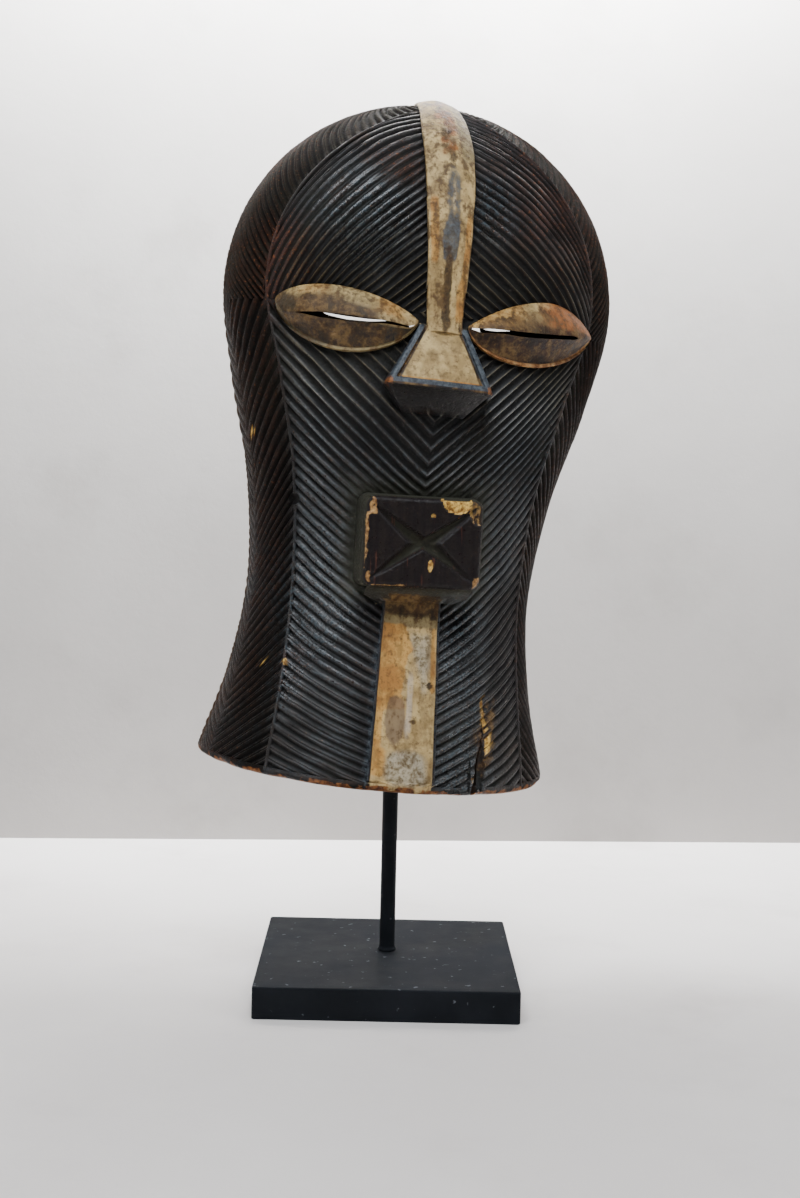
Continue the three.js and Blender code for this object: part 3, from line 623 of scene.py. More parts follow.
def nose_solid():
    root, tip, foot, lift = NOSE.root, NOSE.tip, NOSE.foot, NOSE.lift
    levels = [(root + 1.5, 0.4), (root + 0.4, 1.0), (root - 0.8, 1.7)]
    levels += [(r, 1.7 + (lift - 1.7) * ((root - r) / (root - tip)) ** 1.02)
               for r in np.linspace(root - 2, tip + 0.7, 34)]
    rings = [nose_ring(r, nose_half(r), up, 1.0) for r, up in levels]
    rings.append(nose_ring(tip, NOSE.tip_half - 0.2, lift - 0.15, 0))
    rings.append(nose_ring(tip - 0.5, NOSE.tip_half - 0.9, lift - 0.9, 0))
    for share in (0.15, 0.4, 0.7, 1):
        half = lerp(NOSE.tip_half - 1.3, NOSE.foot_half, share)
        rings.append(nose_ring(lerp(tip - 0.7, foot, share), half, lerp(lift - 1.5, -0.6, share ** 0.85), 0))
    return loft("nose", rings)


def nose_ring(reach, half, lift, panel):
    """One level of the nose, with a raised border round its sunk panel."""
    root, tip = NOSE.root, NOSE.tip
    field = half - NOSE.border
    right = [field - 0.6, field, field + 0.3, half - NOSE.border * 0.5, half - 0.35, half, half]
    xs = np.concatenate([[-v for v in right[::-1]], np.linspace(1.2 - field, field - 1.2, 21), right])
    size = np.abs(xs)
    sunk = panel * 1.35 * smooth(tip + 3.3, tip + 4.1, reach) * smooth(root + 0.3, root - 3, reach)
    inside = smooth(field + 0.1, field - 0.6, size)
    gutter = smooth(field - 0.2, field - 0.8, size) * smooth(field - 3.4, field - 1.8, size)
    lifts = lift - sunk * inside - 0.5 * gutter * panel * smooth(tip + 2, tip + 4, reach)
    lifts[[1, -2]] -= 0.45
    lifts[[0, -1]] = -6
    points = on_face(xs + nose_shift(reach), np.full_like(xs, reach))
    body = lifts > -5
    worn = 0.9 * smooth(24, 27, size) * smooth(tip + 4, tip, reach)
    points[:, 1] -= lifts + body * (0.14 * layered(points, 6, 81) + 0.05 * noise(points, 1.8, 83) - worn)
    return points


def in_mouth(a, b, depth):
    c, s = math.cos(MOUTH.tilt), math.sin(MOUTH.tilt)
    a, b, depth = np.broadcast_arrays(np.asarray(a, float), np.asarray(b, float), np.asarray(depth, float))
    return np.stack([MOUTH.x + a * c - b * s, -depth, MOUTH.z + a * s + b * c], -1)


def rounded_corners(half_a, half_b, corner, steps):
    """The points of a rectangle with rounded corners."""
    for sa, sb, quarter in ((1, 1, 0), (-1, 1, 1), (-1, -1, 2), (1, -1, 3)):
        for i in range(steps + 1):
            t = (quarter + i / steps) * math.pi / 2
            yield sa * (half_a - corner) + corner * math.cos(t), sb * (half_b - corner) + corner * math.sin(t)


def mouth_ring(margin, depth):
    corners = rounded_corners(MOUTH.half_w + margin, MOUTH.half_h + margin, MOUTH.corner, 10)
    return [in_mouth(a, b, depth) for a, b in corners]


def mouth_prism(margin, front):
    levels = [(margin + 1.4, MOUTH.back), (margin + 0.6, MOUTH.front - 8)]
    levels += [(margin, front - 1), (margin, front)]
    return loft("mouth", [mouth_ring(*level) for level in levels])


def cross_drop(a, b):
    """How deep the cross is: each arm has a steep wall above or below and a wide slope at its side."""
    length = math.hypot(CROSS.x, CROSS.z)
    drop = 0
    for lean in (-1, 1):
        dx, dz = CROSS.x * lean / length, CROSS.z / length
        along, side = a * dx + b * dz, -a * dz + b * dx
        full = np.clip(1 - np.abs(along) / length, 0, 1) ** 0.7
        half = lerp(0.5, np.where(side * along * lean > 0, CROSS.narrow, CROSS.wide), full)
        wall = np.clip((half - np.abs(side)) / (0.7 * half), 0, 1) * (np.abs(along) < length)
        drop = np.maximum(drop, lerp(0.5, CROSS.depth, full) * wall ** 0.9)
    return drop


def mouth_solid():
    a = np.linspace(-MOUTH.half_w - 2, MOUTH.half_w + 2, 96)[None]
    b = np.linspace(-MOUTH.half_h - 2, MOUTH.half_h + 2, 68)[:, None]
    a, b = np.broadcast_arrays(a, b)
    outside = outside_mouth(a, b)
    radius = MOUTH.edge
    into = np.clip(radius + outside, 0, radius)
    drop = radius - np.sqrt(radius ** 2 - into ** 2) + np.maximum(outside, 0) * 0.5
    flat = in_mouth(a, b, MOUTH.front)
    drop = drop + cross_drop(a, b) + 0.14 * layered(flat * [1, 1, 0.25], 3.2, 91) + 0.2 * noise(flat, 11, 93)
    ragged = 1.2 * noise(flat, 3.3, 95)
    for ca, cb, ra, rb, deep in MOUTH_CHIPS:
        near = (1 - np.hypot((a - ca) / ra, (b - cb) / rb)) * min(ra, rb) + ragged * min(0.5, rb / 8)
        drop = drop + deep * smooth(0, 0.6, near)
    front = in_mouth(a, b, MOUTH.front - drop)
    backs = in_mouth(a[:, [-1, 0]], b[:, [-1, 0]], MOUTH.back + 1)
    ends = [in_mouth(0, b[row, 0], MOUTH.back + 6) for row in (0, -1)]
    slab = loft("mouth", np.concatenate([front, backs], 1), *ends)
    return combine(slab, mouth_prism(0, MOUTH.front + 3), "INTERSECT")


def mouth_underside():
    edge, front, back = -MOUTH.half_h, MOUTH.front, MOUTH.back
    low, top = MOUTH.underside - MOUTH.z, edge + 6
    section = [(top, front - 4), (edge - 0.2, front - 4.6), (edge - 3, front - 7.5),
               (lerp(edge, low, 0.6), 71.5), (low, 68.5), (low, back), (top, back)]
    rings = []
    for share in np.linspace(-1, 1, 33):
        ring = []
        for b, depth in section:
            half = MOUTH.half_w - (10 if b < edge - 6 else 3)
            p = in_mouth(share * half, b, depth)
            p[1] += 0.25 * noise(p, 5, 97) * (depth > back)
            ring.append(p)
        rings.append(ring)
    return loft("under", rings)


def split_cut():
    rings = []
    for reach in np.linspace(-3, 46, 30):
        t = np.clip(reach / 46, 0, 1)
        half = lerp(2.2, 0.2, t ** 0.8) * (1 + 0.45 * noise(np.array([reach, 3.0, 1.0]), 4, 101))
        depth = lerp(8, 1.5, t ** 0.8)
        x = 40 + 4 * t + 0.9 * noise(np.array([reach, 9.0, 5.0]), 7, 103)
        rings.append([on_face(x + half * share, reach, lift)
                      for share, lift in ((-1, 2.0), (1, 2.0), (0.25, -depth), (-0.25, -depth))])
    return loft("split", rings)


def lost_wood(x, reach, half_x, half_r, depth, seed):
    """A ragged shallow scoop where wood has broken away."""
    rings = []
    for i in range(9):
        polar = lerp(0.12, math.pi - 0.12, i / 8)
        wide = math.sin(polar)
        ring = []
        for k in range(18):
            t = 2 * math.pi * k / 18
            ragged = 1 + 0.3 * float(noise(np.array([math.cos(t) * 2, math.sin(t) * 2, polar]), 1.1, seed))
            ring.append(on_face(x + half_x * ragged * wide * math.cos(t),
                                reach + half_r * ragged * wide * math.sin(t), depth * math.cos(polar)))
        rings.append(ring)
    return loft("lost", rings)


def worn_corner(side, radius):
    """What the rounding takes off the lower back corner of a side."""
    turn = np.linspace(0, math.pi / 2, 9)
    section = [(radius * (math.cos(t) - 1), radius * (1 - math.sin(t))) for t in turn]
    section += [(-radius, -4), (4, -4), (4, radius)]
    return loft("corner", [[(x, y, z) for y, z in section] for x in sorted((side * 55, side * 125))])


def build_mask():
    big = 400.0
    upper = fluted("forehead", forehead_path, EYE_LINE - 6, CROWN - 6, lambda r: FOREHEAD_PITCH, "forehead")
    combine(upper, box("front", (-big, -big, -big), (big, 0, big * 2)), "INTERSECT")
    combine(upper, forehead_space(0), "INTERSECT")
    bands = fluted("bands", band_path, EYE_LINE - 50, CROWN - 5, lambda r: BAND_PITCH, "band")
    combine(bands, forehead_space(0.5), "DIFFERENCE")
    combine(upper, bands, "UNION")
    combine(upper, box("above", (-big, -big, EYE_LINE), (big, big, big * 2)), "INTERSECT")
    chin_pitch = lambda r: lerp(CHIN_PITCH, NOSE_PITCH, min(max((r - 145) / 25, 0), 1))
    mask = fluted("mask_carving", chin_path, -40, EYE_LINE + 4, chin_pitch, "chin")
    combine(mask, box("below", (-big, -big, RIM_BAND), (big, big, EYE_LINE + 0.05)), "INTERSECT")
    combine(mask, upper, "UNION")
    crown = smooth_solid("crown", 4, RIM_BAND, 0, 24, 24)
    combine(crown, box("top", (-big, -big, SMOOTH_CROWN), (big, big, big * 2)), "INTERSECT")
    combine(mask, crown, "UNION")
    for side in (-1, 1):
        combine(mask, border_rib(side), "UNION")
    combine(mask, chin_channel(), "DIFFERENCE")
    for piece in (rim_band(), crest(), chin_strip(), *map(eye_solid, EYES), nose_solid(), mouth_solid(),
                  mouth_underside()):
        combine(mask, piece, "UNION")
    cutters = [smooth_solid("cavity", WALL, -30, 8, 70, 70, 0.7)]
    cutters += [cutter(eye) for eye in EYES for cutter in (eye_slot, eye_window)] + [split_cut()]
    cutters += [lost_wood(*place) for place in LOST_WOOD] + [worn_corner(*place) for place in WORN_CORNERS]
    for cutter in cutters:
        combine(mask, cutter, "DIFFERENCE")
    return mask


def keep_largest(obj):
    mesh = obj.data
    edges = np.empty(len(mesh.edges) * 2, int)
    mesh.edges.foreach_get("vertices", edges)
    edges = edges.reshape(-1, 2)
    label = np.arange(len(mesh.vertices))
    while True:
        low = np.minimum(label[edges[:, 0]], label[edges[:, 1]])
        new = label.copy()
        np.minimum.at(new, edges[:, 0], low)
        np.minimum.at(new, edges[:, 1], low)
        new = new[new]
        if (new == label).all():
            break
        label = new
    names, counts = np.unique(label, return_counts=True)
    keep = label == names[counts.argmax()]
    points = points_of(mesh)[keep]
    index = np.cumsum(keep) - 1
    faces = [[int(index[v]) for v in p.vertices] for p in mesh.polygons if keep[p.vertices[0]]]
    new_mesh = bpy.data.meshes.new(obj.name)
    new_mesh.from_pydata([tuple(p) for p in points], [], faces)
    new_mesh.update()
    obj.data = new_mesh
    print("mask parts", len(names), "vertices kept", keep.sum(), "of", len(keep), "faces", len(faces))


mask = build_mask()
keep_largest(mask)


def band(value, low, high, soft):
    """One between two limits, a half at each of them, nothing beyond."""
    return smooth(low - soft, low + soft, value) * smooth(high + soft, high - soft, value)


# What each spot of the mask is made of, with some painted highlights and sheen among it. Areas are given as
# colour, share, reach from and to, place across from and to (one is the edge of the crest or the strip),
# and the softness of both.
CREST_PAINT = [
    ("brown", 0.62, 313, 384, -0.36, 0.32, 8, 0.3), ("brown", 0.9, 226, 268, -0.2, 0.18, 5, 0.16),
    ("ochre", 1, 262, 294, -0.9, -0.55, 4, 0.12), ("ochre", 1, 255, 286, 0.68, 0.95, 4, 0.12),
    ("ochre", 1, 235, 255, 0.5, 1.0, 4, 0.12), ("olive_and_shade", 0.4, 300, 314, -1, 1, 4, 0.12),
    # the areas from 266 to 309 are rubbed wood under a painted bluish sheen, and the one from 284 to 303 is a
    # painted highlight along the ridge
    ("crest_rub_and_sheen", 1, 266, 309, -0.16, 0.36, 7, 0.2), ("crest_rub_and_sheen", 0.8, 263, 280, -0.38, 0.29, 3, 0.12),
    ("painted_crest_highlight", 0.75, 284, 303, 0.0, 0.2, 7, 0.14)]
STRIP_PAINT = [
    ("ochre", 1, 50, 82, 0.78, 0.93, 2, 0.06), ("ochre", 0.8, 22, 50, -1.2, -0.7, 2, 0.1),
    ("ochre", 0.9, 8, 22, -1.2, -0.52, 2, 0.1), ("olive_and_shade", 0.15, 14, 49, 0.25, 0.95, 2, 0.1),
    # the silver at the foot of the strip is a painted highlight
    ("lilac", 0.8, 27, 60, 0.0, 0.22, 6, 0.16), ("silver_and_painted_shine", 0.85, 4, 21, -0.55, 0.8, 5, 0.3),
    ("brown", 0.55, 5, 20, 0.8, 1.1, 2, 0.1)]
# the edge of the ochre, and of the silver, up the strip
OCHRE_EDGE = ([42, 49, 56, 68, 71.5, 76, 82], [0, -0.19, -0.11, 0, 0.2, -0.02, -0.17])
SILVER_EDGE = ([49.5, 78], [0.45, -0.05])
SCAR = ([20, 30, 38, 48, 54], [46.6, 46.1, 42.6, 40.8, 40])


def surface_place(p):
    """The angle and the reach of points of the mask, and their height above its plain skin."""
    z = p[:, 2]
    low, height = z <= DOME_BASE, np.minimum(z, DOME_BASE)
    wide, deep = half_width(height), front_depth(height)
    ex, ey = p[:, 0] / wide, -p[:, 1] / deep
    ez = np.where(low, 0, (z - DOME_BASE) / DOME_HEIGHT)
    r = np.sqrt(ex ** 2 + ey ** 2 + ez ** 2)
    turn = np.arcsin(np.clip(ez / np.maximum(r, 1e-6), -1, 1)) / (math.pi / 2)
    slope = np.sqrt((ex / wide) ** 2 + (ey / deep) ** 2 + (ez / DOME_HEIGHT) ** 2) / np.maximum(r, 1e-6)
    reach = np.where(low, z, DOME_BASE + (CROWN - DOME_BASE) * turn)
    return np.degrees(np.arctan2(ex, ey)), reach, (r - 1) / np.maximum(slope, 1e-6)


def paint_eye(eye, paint, p, lift, outer):
    """Adds the colours of an eye to the paint, with painted light and shade on its lids; returns where it
    lies, and the painted shade line around it.
    """
    x, y, z = p.T
    u = (x * eye.side - eye.inner[0]) / (eye.outer[0] - eye.inner[0])
    share = np.clip(u, 0, 1)
    top, bottom = eye_edges(eye, share)
    slit = eye_slit_reach(eye, share)
    within = (u > -0.02) * (u < 1.02) * (z < top + 0.6) * (z > bottom - 0.6) * (y < -10)
    within = within * smooth(0.12, 0.38, lift)
    off = np.maximum.reduce([z - top, bottom - z, (u - 1) * 40, -u * 40])
    rise = np.clip((z - slit) / np.maximum(top - slit, 0.5), 0, 1)
    lower = smooth(slit + 0.2, slit - 0.3, z)
    upper, lid, ledge = within * (1 - lower), within * lower, within * smooth(2.3, 1.6, z - bottom)
    # the lids' paint is partly painted light: the upper lid is paler and the lower lid darker as painted
    # light and shade, and the pale line along the ledge is partly a painted highlight
    if eye.side < 0:
        paint["clay"] += upper * (0.66 + 0.3 * smooth(0.7, 0.95, rise)) + lid * 0.42
        paint["clay"] += ledge * (0.5 - 0.45 * smooth(0.35, 0.8, u))
        paint["brown"] += upper * (band(u, 0.34, 0.6, 0.08) * smooth(0.65, 0.3, rise) * 0.8
                                   + band(u, 0.58, 0.92, 0.1) * smooth(1, 0.6, rise) * 0.5
                                   + smooth(0.86, 0.98, u) + smooth(0.95, 0.2, rise) * 0.46)
        paint["brown"] += lid * (1 - ledge) * (0.64 - 0.3 * smooth(0.4, 0.1, u))
        paint["ochre"] += upper * (band(u, 0.06, 0.34, 0.14) * smooth(0.1, 0.5, rise) * 0.6
                                   + band(u, 0.6, 0.92, 0.12) * 0.52) + lid * 0.3
        paint["olive_and_shade"] += upper * 0.55 * smooth(0.2, 0.4, u) + ledge * 0.5
        paint["olive_and_shade"] += lid * (0.45 + 0.4 * smooth(0.5, 0.15, u))
    else:
        paint["clay"] += upper * 0.72 + lid * 0.38 + ledge * 0.35
        paint["brown"] += upper * (smooth(0.36, 0.12, rise) * 0.8 + 0.36 * band(u, 0.05, 0.6, 0.1)
                                   + smooth(1.0, 0.3, rise) * 0.34) + lid * (1 - ledge) * 0.7
        paint["ochre"] += upper * smooth(0.62, 0.3, u) * 0.62 + lid * 0.2
        paint["rust"] += upper * smooth(0.3, 0.75, u) * 0.95 + lid * 0.6
        paint["olive_and_shade"] += ledge * 0.5 + upper * 0.42
    return within, smooth(2.4, 1.2, off) * (y < -10) * outer


def mask_paint(p):
    """The share of each colour, kind of wear, and painted light and shade at points of the mask."""
    x, y, z = p.T
    angle, reach, lift = surface_place(p)
    n1, n2, n3 = layered(p, 26, 121), layered(p, 9, 123), layered(p, 3.5, 125)
    inside = smooth(-3.2, -4.2, lift)
    outer = 1 - inside
    paint = {name: np.zeros(len(p)) for name in (
        "clay", "brown", "ochre", "rust", "olive_and_shade", "lilac", "silver_and_painted_shine", "crest_rub_and_sheen", "painted_crest_highlight")}

    # the crest, and painted shade in the line beside it
    crest_middle, crest_half = crest_span(reach)
    crest_x = (x - crest_middle) / crest_half
    crest_in = (np.abs(crest_x) < 1.03) * smooth(228, 230, reach) * smooth(0.1, 0.3, lift) * (y < -1) * outer
    shade_beside_crest = smooth(1.06, 1.01, np.abs(crest_x)) * (1 - crest_in) * (y < -2)
    shade_beside_crest = shade_beside_crest * smooth(229, 232, reach) * smooth(388, 384, reach) * outer

    eye_in, eye_edge_shade = np.zeros(len(p)), np.zeros(len(p))
    for eye in EYES:
        within, line = paint_eye(eye, paint, p, lift, outer)
        eye_in, eye_edge_shade = np.maximum(eye_in, within), np.maximum(eye_edge_shade, line)

    # the nose, with a border round a pale panel: dark rubbed wood under a painted bluish sheen
    nose_x = x - nose_shift(z)
    half = nose_half(z)
    from_left, from_right = nose_x + half, half - nose_x
    nose_in = (np.abs(nose_x) < half + 0.7) * (z > NOSE.foot) * smooth(0.2, 1, lift) * (y < FRONT_ONLY)
    nose_in = nose_in * smooth(NOSE.root + 2, NOSE.root + 0.5, z)
    border = np.maximum.reduce([smooth(2.9, 2.3, from_left), smooth(3.9, 3.3, from_right),
                                band(z, 202.1, 204.4, 0.25)])
    panel = nose_in * smooth(204.2, 204.8, z)
    gutter = np.maximum(band(from_left, 2.7, 4.3, 0.35), band(from_right, 3.7, 5.0, 0.35))
    paint["brown"] += panel * gutter + nose_in * band(z, 201, 202.1, 0.3)
    paint["clay"] += panel * smooth(4.1, 4.6, from_left) * smooth(4.8, 5.3, from_right) * (0.92 + 0.2 * n3)
    paint["ochre"] += nose_in * band(z, 204.5, 205.4, 0.3)

    # the mouth block, with bare wood where its edges are chipped and rubbed
    ma, mb = mouth_frame(x, z)
    behind = MOUTH.front + y
    mouth_in = (np.abs(ma) < MOUTH.half_w + 1.2) * (np.abs(mb) < MOUTH.half_h + 1.2)
    mouth_in = mouth_in * (behind < 12.5) * outer
    past_mouth = np.maximum(np.abs(ma) - MOUTH.half_w, np.abs(mb) - MOUTH.half_h)
    near_mouth = smooth(13, 1.5, past_mouth) * (1 - mouth_in) * outer * (y < FRONT_ONLY)
    cross = np.where(mouth_in > 0, smooth(1.2, 2.6, behind - 0.3), 0)
    chip = mouth_in * smooth(0.35, 0.8, behind) * smooth(3.2, 2.4, behind)
    oval = lambda edge, a, b, half_a, half_b, ragged=0.2: smooth(
        edge, 0.9, np.hypot((ma - a) / half_a, (mb - b) / half_b) + ragged * n3)
    straw = np.maximum.reduce([
        chip * oval(1.1, 16, 21.5, 7.4, 6.8, 0.32), 0.45 * chip * oval(1.1, 27.5, 18, 5, 8),
        0.75 * mouth_in * oval(1.2, 4, -11, 1.2, 3.4), 0.6 * mouth_in * oval(1.2, 4, 14, 1.4, 1.2)])
    tan = mouth_in * smooth(1.5, 0.8, behind) * np.maximum.reduce([
        0.62 * smooth(-27.2, -28.8, ma + 1.2 * n3), smooth(-23, -25, ma + 1.5 * n3) * smooth(12, 15, mb),
        smooth(-24.5, -26.5, ma + n3) * smooth(-13, -16, mb),
        0.6 * smooth(-20.4, -21.4, mb + 0.9 * n3) * smooth(4, -14, ma),
        0.75 * smooth(27, 28.4, ma + 1.2 * n3) * smooth(8, 12, mb),
        0.8 * smooth(24.5, 27, ma + n3) * smooth(-14, -18, mb), 0.62 * oval(1.15, 27, 17, 4.5, 7)])

    # the strip down the chin, and the paint of crest and strip
    strip_half = chin_half(z)
    strip_x = x / strip_half
    chin_in = smooth(1.0, 0.94, np.abs(strip_x)) * smooth(100, 96, z) * (y < -40) * (1 - mouth_in) * outer
    for where, across, areas in ((crest_in, crest_x, CREST_PAINT), (chin_in, strip_x, STRIP_PAINT)):
        for colour, share, low, high, left, right, soft, side in areas:
            paint[colour] += share * where * band(reach, low, high, soft) * band(across, left, right, side)
    spot = lambda at, up, wide, tall: chin_in * smooth(
        1.25, 0.75, np.hypot((strip_x - at) / wide, (z - up) / tall) + 0.2 * n2)
    ochre_edge = np.interp(z, *OCHRE_EDGE) + 0.06 * n3
    paint["clay"] += chin_in * (0.92 + 0.15 * n2) + crest_in * (0.95 + 0.2 * n2)
    # the strip is painted darker at its top, partly brown paint and partly painted shadow under the mouth
    # block, and brown at its edges
    paint["brown"] += chin_in * (smooth(85, 92, z + n3) + 0.55 * smooth(0.93, 0.99, np.abs(strip_x))
                                 + 0.38 * smooth(82, 88, z))
    paint["brown"] += spot(0.25, 35.5, 0.09, 1.3) + spot(0.75, 53.6, 0.1, 1.6)
    paint["brown"] += crest_in * 0.42 * smooth(0.1, 0.6, n2 + n3) * smooth(282, 268, reach)
    paint["brown"] += crest_in * smooth(0.94, 1.0, np.abs(crest_x)) * 0.6
    # olive at the top of the strip, as painted shadow under the mouth block
    paint["olive_and_shade"] += chin_in * smooth(79, 84, z)
    # olive on the crest's right flank near its top, partly as painted shade on the side turned from the light
    paint["olive_and_shade"] += crest_in * smooth(0.3, 0.6, crest_x) * band(reach, 315, 385, 5) * 0.8
    paint["ochre"] += chin_in * band(z, 41, 83, 2) * band(strip_x, -1.2, ochre_edge, 0.1)
    silver_edge = np.interp(z, *SILVER_EDGE)
    paint["silver_and_painted_shine"] += 0.66 * chin_in * band(z, 48, 80, 4) * band(strip_x, silver_edge, 0.76, 0.2)
    paint["rust"] += (0.85 * crest_in * band(reach, 315, 376, 8) * band(crest_x, -0.5, 0.4, 0.25)
                      * smooth(-0.4, 0.3, n2))
    patch = spot(-0.35, 35.9, 0.34, 12.5)
    past_strip = np.abs(x) - strip_half
    # a painted bluish highlight on the rails beside the strip, stronger on the left
    painted_rail_sheen = smooth(2.2, 1.4, past_strip) * smooth(-0.2, 0.2, past_strip) * smooth(96, 90, z)
    painted_rail_sheen = painted_rail_sheen * (y < -40) * outer

    # the fluted wood between them, painted darker in its grooves and on its flanks as painted shade
    feature = np.maximum.reduce([crest_in, eye_in, nose_in, mouth_in * 1.0, chin_in])
    bare = outer * (1 - feature)
    groove_shade = smooth(0.2, 0.85, -lift) * bare
    ridge = smooth(-0.62, -0.25, lift) * bare
    border_line = np.where(x < 0, border_angle(-1, reach), border_angle(1, reach))
    past_line = (np.abs(angle) - border_line) * np.clip(np.cos(dome_turn(reach)), 0.1, 1)
    flank_shade = smooth(-1.0, 2.0, past_line) * bare

    # breaks and chips
    low_right = (y < -30) * outer
    split_x = 40.9 + 4 * np.clip(z / 46, 0, 1)
    scar = smooth(3.6, 0.2, np.abs(x - np.interp(z, *SCAR)) + 0.5 * n3) * band(z, 18, 53, 2.5) * low_right
    scar = scar * (0.56 + 0.4 * band(z, 19, 33, 3))
    dot = lambda at, up, wide, tall: smooth(
        1.2, 0.8, np.hypot((x - at) / wide, (z - up) / tall) + 0.3 * n3) * outer * (y < -5)
    chips = dot(-59, 57, 1.3, 2.0) + dot(-69.2, 53.7, 1.0, 1.6) + dot(-84, 171, 1, 1.6)
    crack = smooth(0.9, 0.3, np.abs(z - 60 - 0.35 * (x + 50) + n3)) * band(x, -60, -42, 1.5) * outer
    splinter = smooth(1.3, 0.5, np.abs(x - split_x + 3.4)) * smooth(24, 12, z) * smooth(-0.1, 0.3, n2)
    splinter = splinter * low_right
    around = smooth(1.25, 0.8, np.hypot((x - 44) / 6.5, (z - 30) / 19) + 0.25 * n2) * low_right * outer
    paint["brown"] += 0.8 * around * (1 - scar)
    # the crest's painted highlight is laid on as silver, and its rubbed places get the painted bluish sheen
    painted_crest_highlight, crest_rub_and_sheen = paint.pop("painted_crest_highlight"), paint.pop("crest_rub_and_sheen")
    paint["silver_and_painted_shine"] += painted_crest_highlight

    # wear, where the wood is reddish, and painted highlights where it glints
    worn_rim = smooth(4.4, 2.0, z + 1.5 * n2) * outer * (0.52 + 0.8 * n3) + smooth(1.6, 0.5, z) * 0.3 * outer
    worn_tips = nose_in * smooth(22.5, 25, np.abs(nose_x) + n3) * smooth(205.5, 203.5, z)
    worn_ridges = np.maximum(0, n1 - 0.55) * 0.8 * smooth(-1.2, 0.1, lift) * bare
    reddish = (smooth(6, 34, angle) * smooth(252, 276, reach) * (0.6 + 0.5 * n1) + smooth(0.25, 0.9, n1) * 0.3
               + smooth(24, 10, np.hypot(x + 80, (z - 256) * 0.8)) * 0.9
               + smooth(20, 8, np.hypot(x + 30, (reach - 314))) * 0.6
               + smooth(-52, -60, angle) * 0.35 + smooth(50, 58, angle) * 0.3)
    painted_glint = (0.6 * smooth(54, 44, np.abs(angle)) * smooth(95, 115, reach) * smooth(225, 195, reach)
             + smooth(-8, -24, angle) * smooth(140, 100, reach) * (0.45 + 0.7 * n1)
             + smooth(4, 16, angle) * smooth(40, 26, angle) * smooth(120, 90, reach)
             + smooth(34, 12, np.hypot(x + 42, (reach - 280) * 0.8))
             + smooth(24, 8, np.hypot(x + 50, (z - 84) * 0.8))
             + smooth(18, 6, np.hypot(x - 21, (reach - 291) * 0.6)))
    pale_ridge = smooth(52, 38, np.abs(angle)) * smooth(176, 202, reach) * smooth(285, 252, reach)
    dust = near_mouth * (0.55 + 0.3 * n2) + 0.2 * smooth(0.1, 0.7, layered(p, 38, 131)) * groove_shade
    return dict(
        paint,
        inside=np.maximum(inside, (y > -0.4) * 1.0),
        # painted shade in the grooves, round the eyes and beside the crest, and the dark of the crack
        groove_shade=np.maximum.reduce([groove_shade, 0.9 * np.maximum(eye_edge_shade * (1 - eye_in), crack), shade_beside_crest]),
        ridge=ridge * pale_ridge * (0.75 + 0.5 * n2),
        patch=patch,
        # dark rubbed wood with a painted bluish sheen on the nose border, crest and rails
        rubbed_wood_and_painted_sheen=(nose_in * border * smooth(201.6, 202.2, z) + crest_rub_and_sheen * (1 - painted_crest_highlight)
              + painted_rail_sheen * np.where(x < 0, 0.55, 0.25)),
        # the underside of the nose painted near black, as painted shade
        nose_underside_shade=nose_in * smooth(201.4, 200.6, z),
        aged=np.maximum.reduce([eye_in, crest_in, 0.45 * nose_in, chin_in * (0.5 + 0.5 * smooth(70, 92, z))]),
        tan=tan, flank_shade=flank_shade, worn=worn_rim + worn_tips + worn_ridges, red=reddish * bare,
        dust=dust + cross * mouth_in * 0.75,
        olive=outer * np.clip(flank_shade * smooth(225, 255, reach)
                              + smooth(376, 394, reach) * (1 - feature), 0, 1),
        fresh=np.maximum.reduce([straw, scar, 0.75 * chips, 0.5 * splinter]) * (1 - smooth(-6, -7, lift)),
        mouth=mouth_in * 1.0, painted_glint_and_gloss=painted_glint * bare,
    )


def mask_attributes(mesh):
    for name, value in mask_paint(points_of(mesh)).items():
        attribute = mesh.attributes.new(name, "FLOAT", "POINT")
        attribute.data.foreach_set("value", np.clip(value, 0, 1).astype(np.float32))


mask_attributes(mask.data)


def place_mask(obj):
    cy, sy, cl, sl = math.cos(MASK_TURN), math.sin(MASK_TURN), math.cos(MASK_LEAN), math.sin(MASK_LEAN)
    turn = np.array([[cy, -sy, 0], [sy, cy, 0], [0, 0, 1]])
    lean = np.array([[cl, 0, sl], [0, 1, 0], [-sl, 0, cl]])
    placed = (points_of(obj.data) @ (lean @ turn).T + MASK_PLACE) / 1000
    obj.data.vertices.foreach_set("co", placed.ravel())
    obj.data.update()


place_mask(mask)
smooth_shaded(mask, 50)


# stand
def round_ring(x, z, y, radius, axis, sides=40):
    t = np.linspace(0, 2 * math.pi, sides, endpoint=False)
    if axis == "z":
        return np.stack([x + radius * np.cos(t), y + radius * np.sin(t), np.full(sides, z)], -1) / 1000
    return np.stack([np.full(sides, x), y + radius * np.cos(t), z + radius * np.sin(t)], -1) / 1000


def build_rod():
    radius, top, y = ROD.radius, ROD.top, ROD.y
    levels = ROD.foot + [(z, radius) for z in np.linspace(30, top, 26)]
    levels += [(top + 0.2 + radius * math.sin(t), radius * math.cos(t)) for t in np.linspace(0.1, 1.5, 7)]
    rod = loft("rod", [round_ring(0, z, y, r, "z") for z, r in levels])
    thin = ROD.bar_radius
    ends = [(ROD.bar_half - thin + thin * math.sin(t), thin * math.cos(t))
            for t in np.linspace(0, 1.45, 7)]
    sections = [(-x, r) for x, r in ends[::-1]] + [(x, thin) for x in np.linspace(-18, 18, 9)] + ends
    bar = loft("bar", [round_ring(x, ROD.bar_z, y, r, "x") for x, r in sections])
    combine(rod, bar, "UNION")
    smooth_shaded(rod)
    return rod


def plate_ring(half, z):
    return [(x / 1000, y / 1000, z / 1000) for x, y in rounded_corners(half, half, PLATE.corner, 6)]


